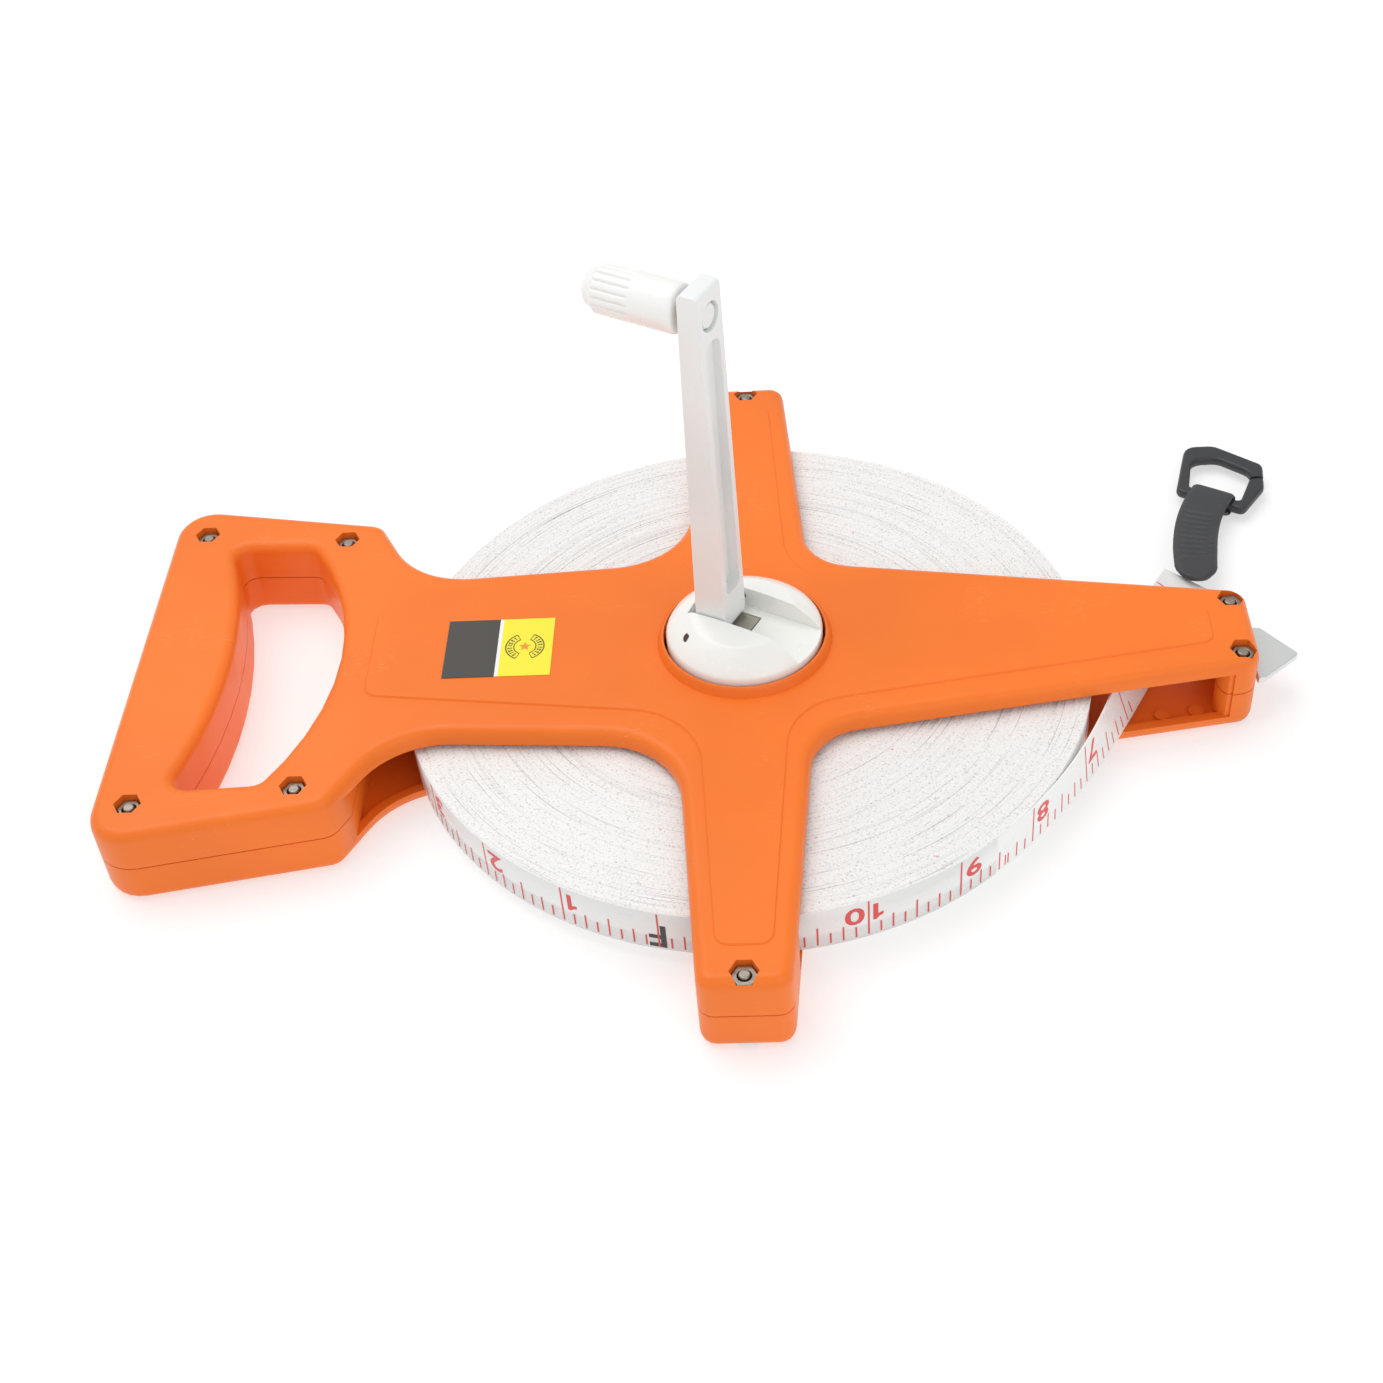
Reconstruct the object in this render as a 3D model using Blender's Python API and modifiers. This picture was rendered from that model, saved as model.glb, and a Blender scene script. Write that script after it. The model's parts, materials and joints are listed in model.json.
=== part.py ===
# Long open-reel tape measure: a moulded frame in two halves holds a reel of fibreglass tape,
# which a folding crank winds. Metres, +Z up, lying on its flat rear face. The origin is on the
# rear face, on the reel's axis; +X points at the ground spike in the nose.
import math

import bmesh
import bpy
from mathutils import Matrix, Vector

MM = 0.001
GAP = 0.3 * MM

# Frame: a T-shaped grip end, two short arms over the reel and a long nose.
FRAME_TOP = 24 * MM
PARTING = 12 * MM
WALL = 2.5 * MM
EDGE_RADIUS = 3 * MM
RIM_LOW = 4.2 * MM
RIM_HIGH = 19.2 * MM
PANEL_RISE = 0.4 * MM
FRAME_HALF_OUTLINE = (
    (-164, 66.5, 10), (-104.2, 55.4, 5), (-90.7, 30.1, 24), (-17.2, 34.4, 22),
    (-11, 114.8, 4), (11, 114.8, 4), (17.3, 32.2, 15), (132.5, 13.9, 5),
)
PANEL_HALF_OUTLINE = (
    (-99.8, 16.9, 4), (-11.9, 27.7, 21), (-6.8, 103.9, 3.5), (6.8, 103.9, 3.5),
    (11.7, 25.6, 17), (121.5, 7.2, 3.5),
)
GRIP_FRONT_X, GRIP_FRONT_HALF, GRIP_FRONT_RISE = -122.5, 46.5, 14
GRIP_BACK_X, GRIP_BACK_HALF, GRIP_BACK_RISE = -146.2, 47.6, 8
GRIP_CORNER = 4
HANDLE_WALL_X = (-103 * MM, -100.4 * MM)
BOLT_PLACES = (
    (-154.4, 53.1), (-154.4, -53.1), (-113.2, 48.5), (-113.2, -48.5),
    (0, 111.2), (0, -111.2), (128.2, 9.9), (128.2, -9.9),
)
BOSS_RADIUS = 5.8 * MM
NUT_FLATS = 5.5 * MM
NUT_POCKET_FLATS = 6.2 * MM
NUT_POCKET_FLOOR = 19.8 * MM
NUT_TOP = 22.2 * MM
BOLT_RADIUS = 1.5 * MM
BOLT_HEAD_RADIUS = 2.8 * MM
BOLT_HEAD_POCKET = 2.9 * MM

# Reel, turning on a boss of the rear half.
PACK_RADIUS = 90.8 * MM
BLADE_LOW = 4.7 * MM
BLADE_HIGH = 17.7 * MM
DRUM_RADIUS = 27.6 * MM
REEL_SPACE_RADIUS = 97 * MM
AXLE_BOSS_RADIUS = 8 * MM
AXLE_BOSS_TOP = 14 * MM
COLLAR_RADIUS = 23.2 * MM
COLLAR_LIP_RADIUS = 22.4 * MM
COLLAR_BORE = 21.4 * MM
COLLAR_TOP = 27 * MM
HUB_RADIUS = 20.6 * MM
HUB_LOW = 20.8 * MM
SPIGOT_RADIUS = 12 * MM

# Folding crank. u runs from the hub's centre towards the side that the arm folds to,
# v lies across it; both turn with the reel.
FOLD_DIRECTION = math.radians(-29)
SLOT_U = (-13.3 * MM, 26 * MM)
SLOT_V = (-6.2 * MM, 8 * MM)
SLOT_FLOOR = 28.2 * MM
HINGE_U = -5.2 * MM
HINGE_Z = 31.7 * MM
HINGE_PIN_RADIUS = 1.2 * MM
FOOT_RADIUS = 3.15 * MM
ARM_V = (-5.8 * MM, 4.75 * MM)
ARM_FOOT_U = (-10.98 * MM, -2.05 * MM)
ARM_TOP_U = (-9.06 * MM, -3.5 * MM)
ARM_TOP = 131 * MM
KNOB_Z = 123.7 * MM
KNOB_V = -0.5 * MM
KNOB_START_U = -10.9 * MM
KNOB_END_U = -37.3 * MM
KNOB_RADIUS = 6.3 * MM
KNOB_AXLE_RADIUS = 1.9 * MM

# The tape's run through the nose, and what hangs on its end.
TAPE_THICKNESS = 0.8 * MM

# The blade's free run, from the pack to the tab, is a cubic curve. The blade leaves the pack
# standing on edge and leans over until it is nearly flat, and its lower edge stays level.
BLADE_WIDTH = BLADE_HIGH - BLADE_LOW
LEAVE_ANGLE = math.radians(-48)
LEAVE_REACH = 48 * MM
END_REACH = 40 * MM
RUN_END = (122.8 * MM, 38.8 * MM)
RUN_END_HEADING = math.radians(60)
RUN_END_LEAN = math.radians(78)
LEAN_GROWTH = 2
LEAD_IN_SHARES = (0.22, 0.54)
LEADER_SHARES = (0.8, 0.95)
STRIP_STEPS = 6
SPIKE_THICKNESS = 1.9 * MM
TAB_THICKNESS = 2 * MM
TAB_WIDTH = 12.4 * MM
TAB_START = (125.2 * MM, 35.8 * MM, 8 * MM)
TAB_START_HEADING = math.radians(85)
TAB_REACH = 13 * MM
TAB_LENGTH = 40 * MM
TAB_STATIONS = (0.3, 1.2, 3, 6.2, 11, 16, 21, 26, 31, 36, 40)
CURL_THICKNESS = 1.2 * MM
RING_BAR_RADIUS = 1.9 * MM
RING_THICKNESS = 3 * MM
RING_EDGE = 1 * MM
RING_HEIGHT = 3.6 * MM
RING_PIN = (136.1 * MM, 76.7 * MM)
RING_ANGLE = math.radians(-30)

ORANGE = (0.80, 0.22, 0.045)


def material(name, colour, roughness, metallic=0.0):
    made = bpy.data.materials.new(name)
    made.use_nodes = True
    shader = made.node_tree.nodes["Principled BSDF"]
    shader.inputs["Base Color"].default_value = (*colour, 1)
    shader.inputs["Roughness"].default_value = roughness
    shader.inputs["Metallic"].default_value = metallic
    return made


def arc_steps(radius):
    """More segments on a larger arc, given its radius in millimetres."""
    return max(3, min(11, round(2.2 * math.sqrt(radius))))


def rounded_outline(corners):
    """A closed outline in metres, from (x, y, radius) corners in millimetres, each rounded by an arc."""
    outline = []
    for i, (x, y, radius) in enumerate(corners):
        corner = Vector((x, y)) * MM
        if radius <= 0:
            outline.append(corner)
            continue
        back = (Vector(corners[i - 1][:2]) * MM - corner).normalized()
        ahead = (Vector(corners[(i + 1) % len(corners)][:2]) * MM - corner).normalized()
        half = back.angle(ahead) / 2
        reach = radius * MM / math.tan(half)
        centre = corner + (back + ahead).normalized() * (radius * MM / math.sin(half))
        start = corner + back * reach - centre
        turn = start.angle_signed(corner + ahead * reach - centre)
        steps = arc_steps(radius)
        for step in range(steps + 1):
            outline.append(centre + Matrix.Rotation(-turn * step / steps, 2) @ start)
    return outline


def both_sides(half):
    """A half outline at +Y, followed by its mirror image at -Y."""
    return tuple(half) + tuple((x, -y, radius) for x, y, radius in reversed(half))


def inset(corners, distance):
    """The same corners with every side moved inwards, for an outline that runs clockwise."""
    moved = []
    for i, (x, y, radius) in enumerate(corners):
        corner = Vector((x, y))
        before = (corner - Vector(corners[i - 1][:2])).normalized()
        after = (Vector(corners[(i + 1) % len(corners)][:2]) - corner).normalized()
        inward = Vector((before.y, -before.x)) + Vector((after.y, -after.x))
        shift = inward * (distance / (1 + before.dot(after)))
        convex = before.x * after.y - before.y * after.x < 0
        new_radius = max(radius - distance, 0.8) if convex else radius + distance
        moved.append((corner.x + shift.x, corner.y + shift.y, new_radius))
    return moved


def bowed_side(x, half_length, rise, upwards, steps=10):
    """Points in millimetres along an arc across the grip, bulging by rise towards +X in the middle."""
    radius = (half_length**2 + rise**2) / (2 * rise)
    reach = math.asin(half_length / radius)
    sides = [-reach + 2 * reach * step / steps for step in range(steps + 1)]
    if not upwards:
        sides.reverse()
    return [(x + rise - radius * (1 - math.cos(a)), radius * math.sin(a), 0) for a in sides]


def grip_outline(wall=0.0):
    """The finger opening's corners, clockwise, grown by the wall's thickness."""
    front = bowed_side(GRIP_FRONT_X + wall, GRIP_FRONT_HALF + wall, GRIP_FRONT_RISE, False)
    back = bowed_side(GRIP_BACK_X - wall, GRIP_BACK_HALF + wall, GRIP_BACK_RISE, True)
    corner = GRIP_CORNER + wall
    front[0] = (*front[0][:2], corner)
    front[-1] = (*front[-1][:2], corner)
    back[0] = (*back[0][:2], corner)
    back[-1] = (*back[-1][:2], corner)
    return front + back


def finish(obj, collection, look, smooth=True):
    collection.objects.link(obj)
    if look is None:
        obj.hide_render = True
        obj.display_type = "WIRE"
    else:
        obj.data.materials.append(look)
    if smooth:
        obj.data.shade_smooth()
        obj.data.set_sharp_from_angle(angle=math.radians(35))
    return obj


def plate(name, outlines, low, high, collection, look=None):
    """A flat piece between two heights, from its outline and the outlines of its holes."""
    curve = bpy.data.curves.new(name + "_outline", "CURVE")
    curve.dimensions = "2D"
    curve.fill_mode = "BOTH"
    curve.extrude = (high - low) / 2
    for outline in outlines:
        spline = curve.splines.new("POLY")
        spline.points.add(len(outline) - 1)
        for point, place in zip(spline.points, outline):
            point.co = (place.x, place.y, 0, 1)
        spline.use_cyclic_u = True
    guide = bpy.data.objects.new(name + "_outline", curve)
    bpy.context.scene.collection.objects.link(guide)
    graph = bpy.context.evaluated_depsgraph_get()
    mesh = bpy.data.meshes.new_from_object(guide.evaluated_get(graph))
    bpy.data.objects.remove(guide)
    shape = bmesh.new()
    shape.from_mesh(mesh)
    bmesh.ops.remove_doubles(shape, verts=shape.verts, dist=1e-6)
    bmesh.ops.translate(shape, verts=shape.verts, vec=(0, 0, (low + high) / 2))
    bmesh.ops.recalc_face_normals(shape, faces=shape.faces)
    shape.to_mesh(mesh)
    shape.free()
    return finish(bpy.data.objects.new(name, mesh), collection, look)


def round_edges(obj, radius, chosen, steps=3):
    """Rounds the edges that the chosen test picks."""
    shape = bmesh.new()
    shape.from_mesh(obj.data)
    bmesh.ops.dissolve_limit(
        shape, angle_limit=math.radians(0.5), verts=shape.verts, edges=shape.edges
    )
    edges = [edge for edge in shape.edges if chosen(edge)]
    bmesh.ops.bevel(
        shape, geom=edges, offset=radius, segments=steps, profile=0.5, affect="EDGES"
    )
    shape.to_mesh(obj.data)
    shape.free()
    obj.data.shade_smooth()
    obj.data.set_sharp_from_angle(angle=math.radians(35))


def at_height(height):
    """A test for the edges round a flat face at this height."""

    def chosen(edge):
        flat = all(abs(corner.co.z - height) < 1e-6 for corner in edge.verts)
        return flat and len(edge.link_faces) == 2 and edge.calc_face_angle() > 0.5

    return chosen


def cylinder(name, radius, low, high, collection, look=None, centre=(0, 0), sides=32, turn=0.0):
    mesh = bpy.data.meshes.new(name)
    shape = bmesh.new()
    place = Matrix.Translation((centre[0], centre[1], (low + high) / 2)) @ Matrix.Rotation(turn, 4, "Z")
    bmesh.ops.create_cone(
        shape, cap_ends=True, segments=sides, radius1=radius, radius2=radius,
        depth=high - low, matrix=place,
    )
    shape.to_mesh(mesh)
    shape.free()
    return finish(bpy.data.objects.new(name, mesh), collection, look)


def hexagon(name, flats, low, high, collection, centre, look=None):
    """A hexagonal prism with two corners on the X axis."""
    return cylinder(name, flats / math.sqrt(3), low, high, collection, look, centre, 6, math.radians(30))


def block(name, low, high, collection, look=None):
    """A box between two opposite corners."""
    mesh = bpy.data.meshes.new(name)
    shape = bmesh.new()
    middle = (Vector(low) + Vector(high)) / 2
    size = Vector(high) - Vector(low)
    bmesh.ops.create_cube(shape, size=1, matrix=Matrix.Translation(middle) @ Matrix.Diagonal((*size, 1)))
    shape.to_mesh(mesh)
    shape.free()
    return finish(bpy.data.objects.new(name, mesh), collection, look, False)


def turned(name, profile, collection, look=None, steps=48):
    """A solid of revolution about Z, from (radius, height) points in millimetres, top to bottom."""
    mesh = bpy.data.meshes.new(name)
    points = [(radius * MM, 0, height * MM) for radius, height in profile]
    mesh.from_pydata(points, [(i, i + 1) for i in range(len(points) - 1)], [])
    obj = bpy.data.objects.new(name, mesh)
    collection.objects.link(obj)
    screw = obj.modifiers.new("turn", "SCREW")
    screw.steps = steps
    screw.render_steps = steps
    screw.use_merge_vertices = True
    screw.merge_threshold = 0.00001
    graph = bpy.context.evaluated_depsgraph_get()
    obj.data = bpy.data.meshes.new_from_object(obj.evaluated_get(graph))
    obj.modifiers.clear()
    collection.objects.unlink(obj)
    shape = bmesh.new()
    shape.from_mesh(obj.data)
    bmesh.ops.remove_doubles(shape, verts=shape.verts, dist=1e-6)
    shape.to_mesh(obj.data)
    shape.free()
    return finish(obj, collection, look)


def combine(obj, other, operation):
    step = obj.modifiers.new(other.name, "BOOLEAN")
    step.operation = operation
    step.object = other
    return step


def cut(obj, *cutters):
    for cutter in cutters:
        combine(obj, cutter, "DIFFERENCE")


def join(obj, *others):
    for other in others:
        combine(obj, other, "UNION")


def applied(obj):
    """Puts the result of the piece's modifiers into its mesh."""
    graph = bpy.context.evaluated_depsgraph_get()
    looks = list(obj.data.materials)
    obj.data = bpy.data.meshes.new_from_object(obj.evaluated_get(graph))
    obj.modifiers.clear()
    obj.data.materials.clear()
    for look in looks:
        obj.data.materials.append(look)
    obj.data.shade_smooth()
    obj.data.set_sharp_from_angle(angle=math.radians(35))
    return obj


def frame_cavity(name, low, high):
    """The space inside the walls of both halves, with the grip's own wall left standing."""
    inner = rounded_outline(inset(both_sides(FRAME_HALF_OUTLINE), WALL / MM))
    space = plate(name, [inner, rounded_outline(grip_outline(WALL / MM))], low, high, CUTTERS)
    wall = block(
        name + "_handle_wall", (HANDLE_WALL_X[0], -60 * MM, low - MM),
        (HANDLE_WALL_X[1], 60 * MM, high + MM), CUTTERS,
    )
    arm_ends = [
        block(
            f"{name}_arm_end_{side}", (-20 * MM, min(98 * side, 120 * side) * MM, low - MM),
            (20 * MM, max(98 * side, 120 * side) * MM, high + MM), CUTTERS,
        )
        for side in (-1, 1)
    ]
    nose_wall = block(
        name + "_nose_wall", (126 * MM, -20 * MM, low - MM), (140 * MM, 20 * MM, high + MM), CUTTERS
    )
    cut(space, wall, *arm_ends, nose_wall)
    return applied(space)


def frame_windows(name, low, high):
    """What is open through the side walls: the reel's space, behind the handle and along the nose."""
    space = cylinder(name, REEL_SPACE_RADIUS, low, high, CUTTERS, sides=64)
    behind = block(name + "_behind", (-100.4 * MM, -62 * MM, low), (-20 * MM, 62 * MM, high), CUTTERS)
    nose = block(name + "_nose", (20 * MM, -40 * MM, low), (126 * MM, 40 * MM, high), CUTTERS)
    join(space, behind, nose)
    return applied(space)


def bosses(name, low, high):
    """The bolts' pillars in the grip and the nose, kept inside the outer walls."""
    outline = rounded_outline(inset(both_sides(FRAME_HALF_OUTLINE), 0.6))
    inside = plate(name + "_limit", [outline], low - MM, high + MM, CUTTERS)
    pillars = []
    for i, (x, y) in enumerate(BOLT_PLACES, 1):
        if x == 0:
            continue
        pillar = cylinder(f"{name}_{i}", BOSS_RADIUS, low, high, CUTTERS, centre=(x * MM, y * MM), sides=20)
        combine(pillar, inside, "INTERSECT")
        pillars.append(applied(pillar))
    return pillars


def build_front_frame(look):
    outline = rounded_outline(both_sides(FRAME_HALF_OUTLINE))
    grip = rounded_outline(grip_outline())
    half = plate("front_frame", [outline, grip], PARTING + GAP / 2, FRAME_TOP, PARTS, look)
    round_edges(half, EDGE_RADIUS, at_height(FRAME_TOP))
    cut(half, frame_windows("front_windows", PARTING - 5 * MM, RIM_HIGH))
    cut(half, frame_cavity("front_cavity", PARTING - 4 * MM, FRAME_TOP - WALL))
    join(half, *bosses("front_boss", PARTING + GAP / 2, FRAME_TOP - 2 * MM))
    panel_outline = rounded_outline(both_sides(PANEL_HALF_OUTLINE))
    panel = plate("raised_panel", [panel_outline], FRAME_TOP - MM, FRAME_TOP + PANEL_RISE, CUTTERS)
    round_edges(panel, 0.35 * MM, at_height(FRAME_TOP + PANEL_RISE), 1)
    collar = turned(
        "collar",
        (
            (0, COLLAR_TOP / MM), (COLLAR_LIP_RADIUS / MM - 0.6, COLLAR_TOP / MM),
            (COLLAR_LIP_RADIUS / MM, COLLAR_TOP / MM - 0.6), (COLLAR_RADIUS / MM, 24.2),
            (COLLAR_RADIUS / MM, 22), (0, 22),
        ),
        CUTTERS,
    )
    join(half, panel, collar)
    cut(half, cylinder("collar_bore", COLLAR_BORE, PARTING, COLLAR_TOP + 5 * MM, CUTTERS, sides=48))
    for i, (x, y) in enumerate(BOLT_PLACES, 1):
        centre = (x * MM, y * MM)
        pocket = hexagon(f"nut_pocket_{i}", NUT_POCKET_FLATS, NUT_POCKET_FLOOR, 30 * MM, CUTTERS, centre)
        bore = cylinder(
            f"front_bolt_bore_{i}", BOLT_RADIUS + GAP, 5 * MM, 22 * MM, CUTTERS, centre=centre, sides=14
        )
        cut(half, pocket, bore)
    cut(half, spike_slot("front_spike_slot"))
    return applied(half)


def spike_slot(name):
    """The pocket between the halves that the ground spike's tail is clamped in."""
    low = PARTING - SPIKE_THICKNESS / 2 - GAP
    high = PARTING + SPIKE_THICKNESS / 2 + GAP
    return block(name, (115 * MM, -4.6 * MM, low), (140 * MM, 4.6 * MM, high), CUTTERS)


def build_rear_frame(look):
    outline = rounded_outline(both_sides(FRAME_HALF_OUTLINE))
    grip = rounded_outline(grip_outline())
    half = plate("rear_frame", [outline, grip], 0, PARTING - GAP / 2, PARTS, look)
    round_edges(half, EDGE_RADIUS, at_height(0))
    cut(half, frame_windows("rear_windows", RIM_LOW, PARTING + 5 * MM))
    cut(half, frame_cavity("rear_cavity", WALL, PARTING + 4 * MM))
    join(half, *bosses("rear_boss", 2 * MM, PARTING - GAP / 2))
    join(half, cylinder("axle_boss", AXLE_BOSS_RADIUS, MM, AXLE_BOSS_TOP, CUTTERS))
    for i, (x, y) in enumerate(((109, -12.3), (118, -11.2)), 1):
        centre = (x * MM, y * MM)
        join(half, cylinder(f"tape_pip_{i}", 2 * MM, MM, 3.3 * MM, CUTTERS, centre=centre, sides=16))
    for i, (x, y) in enumerate(BOLT_PLACES, 1):
        centre = (x * MM, y * MM)
        pocket = cylinder(
            f"head_pocket_{i}", BOLT_HEAD_RADIUS + GAP, -5 * MM, BOLT_HEAD_POCKET, CUTTERS,
            centre=centre, sides=18,
        )
        bore = cylinder(
            f"rear_bolt_bore_{i}", BOLT_RADIUS + GAP, MM, 18 * MM, CUTTERS, centre=centre, sides=14
        )
        cut(half, pocket, bore)
    cut(half, spike_slot("rear_spike_slot"))
    return applied(half)


def build_fasteners(look):
    for i, (x, y) in enumerate(BOLT_PLACES, 1):
        centre = (x * MM, y * MM)
        nut = hexagon(f"frame_nut_{i}", NUT_FLATS, NUT_POCKET_FLOOR + GAP, NUT_TOP, PARTS, centre, look)
        thread = cylinder(
            f"nut_thread_{i}", BOLT_RADIUS + GAP, 18 * MM, 26 * MM, CUTTERS, centre=centre, sides=14
        )
        cut(nut, thread)
        applied(nut)
        bolt = turned(
            f"frame_bolt_{i}",
            (
                (0, 22.9), (BOLT_RADIUS / MM - 0.3, 22.9), (BOLT_RADIUS / MM, 22.6), (BOLT_RADIUS / MM, 2.6),
                (BOLT_HEAD_RADIUS / MM, 2.6), (BOLT_HEAD_RADIUS / MM, 1), (2.2, 0.4), (0, 0.4),
            ),
            PARTS, look, 14,
        )
        bolt.data.transform(Matrix.Translation((*centre, 0)))


def build_ground_spike(look):
    """A flat steel tongue with a pointed end, clamped between the halves by its tail."""
    corners = (
        (119, -4.2, 0.8), (119, 4.2, 0.8), (133.2, 4.2, 0), (133.2, 10.4, 0.8),
        (137.2, 9.8, 1.5), (145.5, -0.8, 1), (135, -9.7, 1.5), (133.2, -9.9, 0.6), (133.2, -4.2, 0),
    )
    low = PARTING - SPIKE_THICKNESS / 2
    plate("ground_spike", [rounded_outline(corners)], low, low + SPIKE_THICKNESS, PARTS, look)


def build_label(look):
    corners = ((-79.6, -11.6, 0.8), (-79.6, 10.8, 0.8), (-51, 10.8, 0.8), (-51, -11.6, 0.8))
    low = FRAME_TOP + PANEL_RISE + GAP
    plate("label_plate", [rounded_outline(corners)], low, low + 0.3 * MM, PARTS, look)


def build_reel_drum(look):
    """The spool that the tape is wound on, with a socket on top for the hub's spigot."""
    radius = DRUM_RADIUS / MM
    socket = SPIGOT_RADIUS / MM + 0.3
    bore = AXLE_BOSS_RADIUS / MM + 0.3
    return turned(
        "reel_drum",
        (
            (socket, 20.4), (20, 20.4), (20, 18.4), (radius, 18.4), (radius, 3.9), (20, 3.2),
            (bore, 3.2), (bore, 14.4), (socket, 14.4), (socket, 20.4),
        ),
        PARTS, look,
    )


def build_tape_pack(look):
    """The wound tape, as one ring round the drum."""
    outer = PACK_RADIUS / MM
    inner = DRUM_RADIUS / MM + 0.4
    low, high = BLADE_LOW / MM, BLADE_HIGH / MM
    return turned(
        "tape_pack", ((inner, high), (outer, high), (outer, low), (inner, low), (inner, high)),
        PARTS, look, 96,
    )


def slot_block(name, u_range, v_range, low, high):
    return block(name, (u_range[0], v_range[0], low), (u_range[1], v_range[1], high), CUTTERS)


def build_crank_hub(look):
    """The domed disc that drives the reel, with a slot for the folding arm's foot."""
    spigot = SPIGOT_RADIUS / MM
    hub = turned(
        "crank_hub",
        (
            (0, 34.5), (8, 34.4), (13.3, 33.9), (14.2, 33.4), (17.5, 31.2), (20, 28.9),
            (HUB_RADIUS / MM, 27.8), (HUB_RADIUS / MM, HUB_LOW / MM), (spigot, HUB_LOW / MM),
            (spigot, 15), (0, 15),
        ),
        PARTS, look,
    )
    slot = slot_block("arm_slot", SLOT_U, SLOT_V, SLOT_FLOOR, 40 * MM)
    spring_seat = slot_block(
        "spring_seat", (-11.5 * MM, 2.4 * MM), (-5 * MM, 5.4 * MM), SLOT_FLOOR - 1.2 * MM, 30 * MM
    )
    pin_bore = cylinder("hinge_bore", HINGE_PIN_RADIUS + GAP, -10.3 * MM, 11.3 * MM, CUTTERS, sides=16)
    pin_bore.data.transform(HINGE_FRAME)
    cut(hub, slot, spring_seat, pin_bore)
    return applied(hub)


def build_hinge_pin(look):
    pin = cylinder("crank_hinge_pin", HINGE_PIN_RADIUS, -10 * MM, 11 * MM, PARTS, look, sides=16)
    pin.data.transform(HINGE_FRAME)
    return pin


def build_detent_spring(look):
    """A flat spring that the arm's square foot bears on, upright or folded."""
    return block(
        "detent_spring", (-11.2 * MM, -4.7 * MM, SLOT_FLOOR - 0.9 * MM), (2.1 * MM, 5.1 * MM, SLOT_FLOOR),
        PARTS, look,
    )


def build_crank_arm(look):
    """A tapered lever, its side profile drawn in the plane it folds in and its foot rounded on the pin."""
    hinge_u, hinge_z, foot = HINGE_U / MM, HINGE_Z / MM, FOOT_RADIUS / MM
    corners = [
        (ARM_FOOT_U[0] / MM, hinge_z - foot, 1.2), (ARM_TOP_U[0] / MM, ARM_TOP / MM, 1.2),
        (ARM_TOP_U[1] / MM, ARM_TOP / MM, 1.2), (hinge_u + foot, hinge_z + 1, 0),
    ]
    quarter = [math.radians(-15 * step) for step in range(7)]
    corners += [(hinge_u + foot * math.cos(a), hinge_z + foot * math.sin(a), 0) for a in quarter]
    arm = plate("crank_arm", [rounded_outline(corners)], -ARM_V[1], -ARM_V[0], PARTS, look)
    upright = Matrix(((1, 0, 0, 0), (0, 0, -1, 0), (0, 1, 0, 0), (0, 0, 0, 1)))
    arm.data.transform(upright)
    across = cylinder("arm_bore", HINGE_PIN_RADIUS + GAP, -20 * MM, 20 * MM, CUTTERS, sides=16)
    across.data.transform(HINGE_FRAME)
    channel_corners = ((117, -3, 3.2), (117, 3.6, 3.2), (41, 3.6, 1.5), (41, -3, 1.5))
    channel = plate("arm_channel", [rounded_outline(channel_corners)], 0, 8 * MM, CUTTERS)
    channel.data.transform(SIDE_FRAME @ Matrix.Translation((0, 0, ARM_TOP_U[1] - 2 * MM)))
    socket = cylinder("rivet_pocket", 3.8 * MM, -5.2 * MM, 5 * MM, CUTTERS, sides=20)
    socket.data.transform(KNOB_FRAME)
    axle_bore = cylinder("axle_bore", KNOB_AXLE_RADIUS + GAP, -30 * MM, 20 * MM, CUTTERS, sides=16)
    axle_bore.data.transform(KNOB_FRAME)
    cut(arm, across, channel, socket, axle_bore)
    return applied(arm)


def build_knob_axle(look):
    """The headed rivet that the knob turns on."""
    axle = turned(
        "knob_axle",
        (
            (0, -3.9), (2.9, -3.9), (3.4, -4.9 + 0.3), (3.4, -4.9), (KNOB_AXLE_RADIUS / MM, -4.9),
            (KNOB_AXLE_RADIUS / MM, -31), (0, -31),
        ),
        PARTS, look, 16,
    )
    axle.data.transform(KNOB_FRAME)
    return axle


def build_knob(look):
    radius = KNOB_RADIUS / MM
    bore = KNOB_AXLE_RADIUS / MM + 0.3
    start, end = KNOB_START_U / MM, KNOB_END_U / MM
    knob = turned(
        "knob_grip",
        (
            (bore, start), (radius - 1.4, start), (radius - 0.6, start - 1.5), (radius, start - 9),
            (radius, end + 4), (radius - 0.7, end + 1.4), (radius - 2, end + 0.3), (0, end),
            (0, -31.4), (bore, -31.4), (bore, start),
        ),
        PARTS, look, 32,
    )
    knob.data.transform(KNOB_FRAME)
    return knob


def on_cubic(controls, share):
    """Place and direction on a cubic curve through its four control points, at a share of it from 0 to 1."""
    a, b, c, d = controls
    rest = 1 - share
    place = a * rest**3 + b * 3 * share * rest**2 + c * 3 * share**2 * rest + d * share**3
    ahead = (b - a) * rest**2 + (c - b) * 2 * share * rest + (d - c) * share**2
    return place, ahead.normalized()


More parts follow.
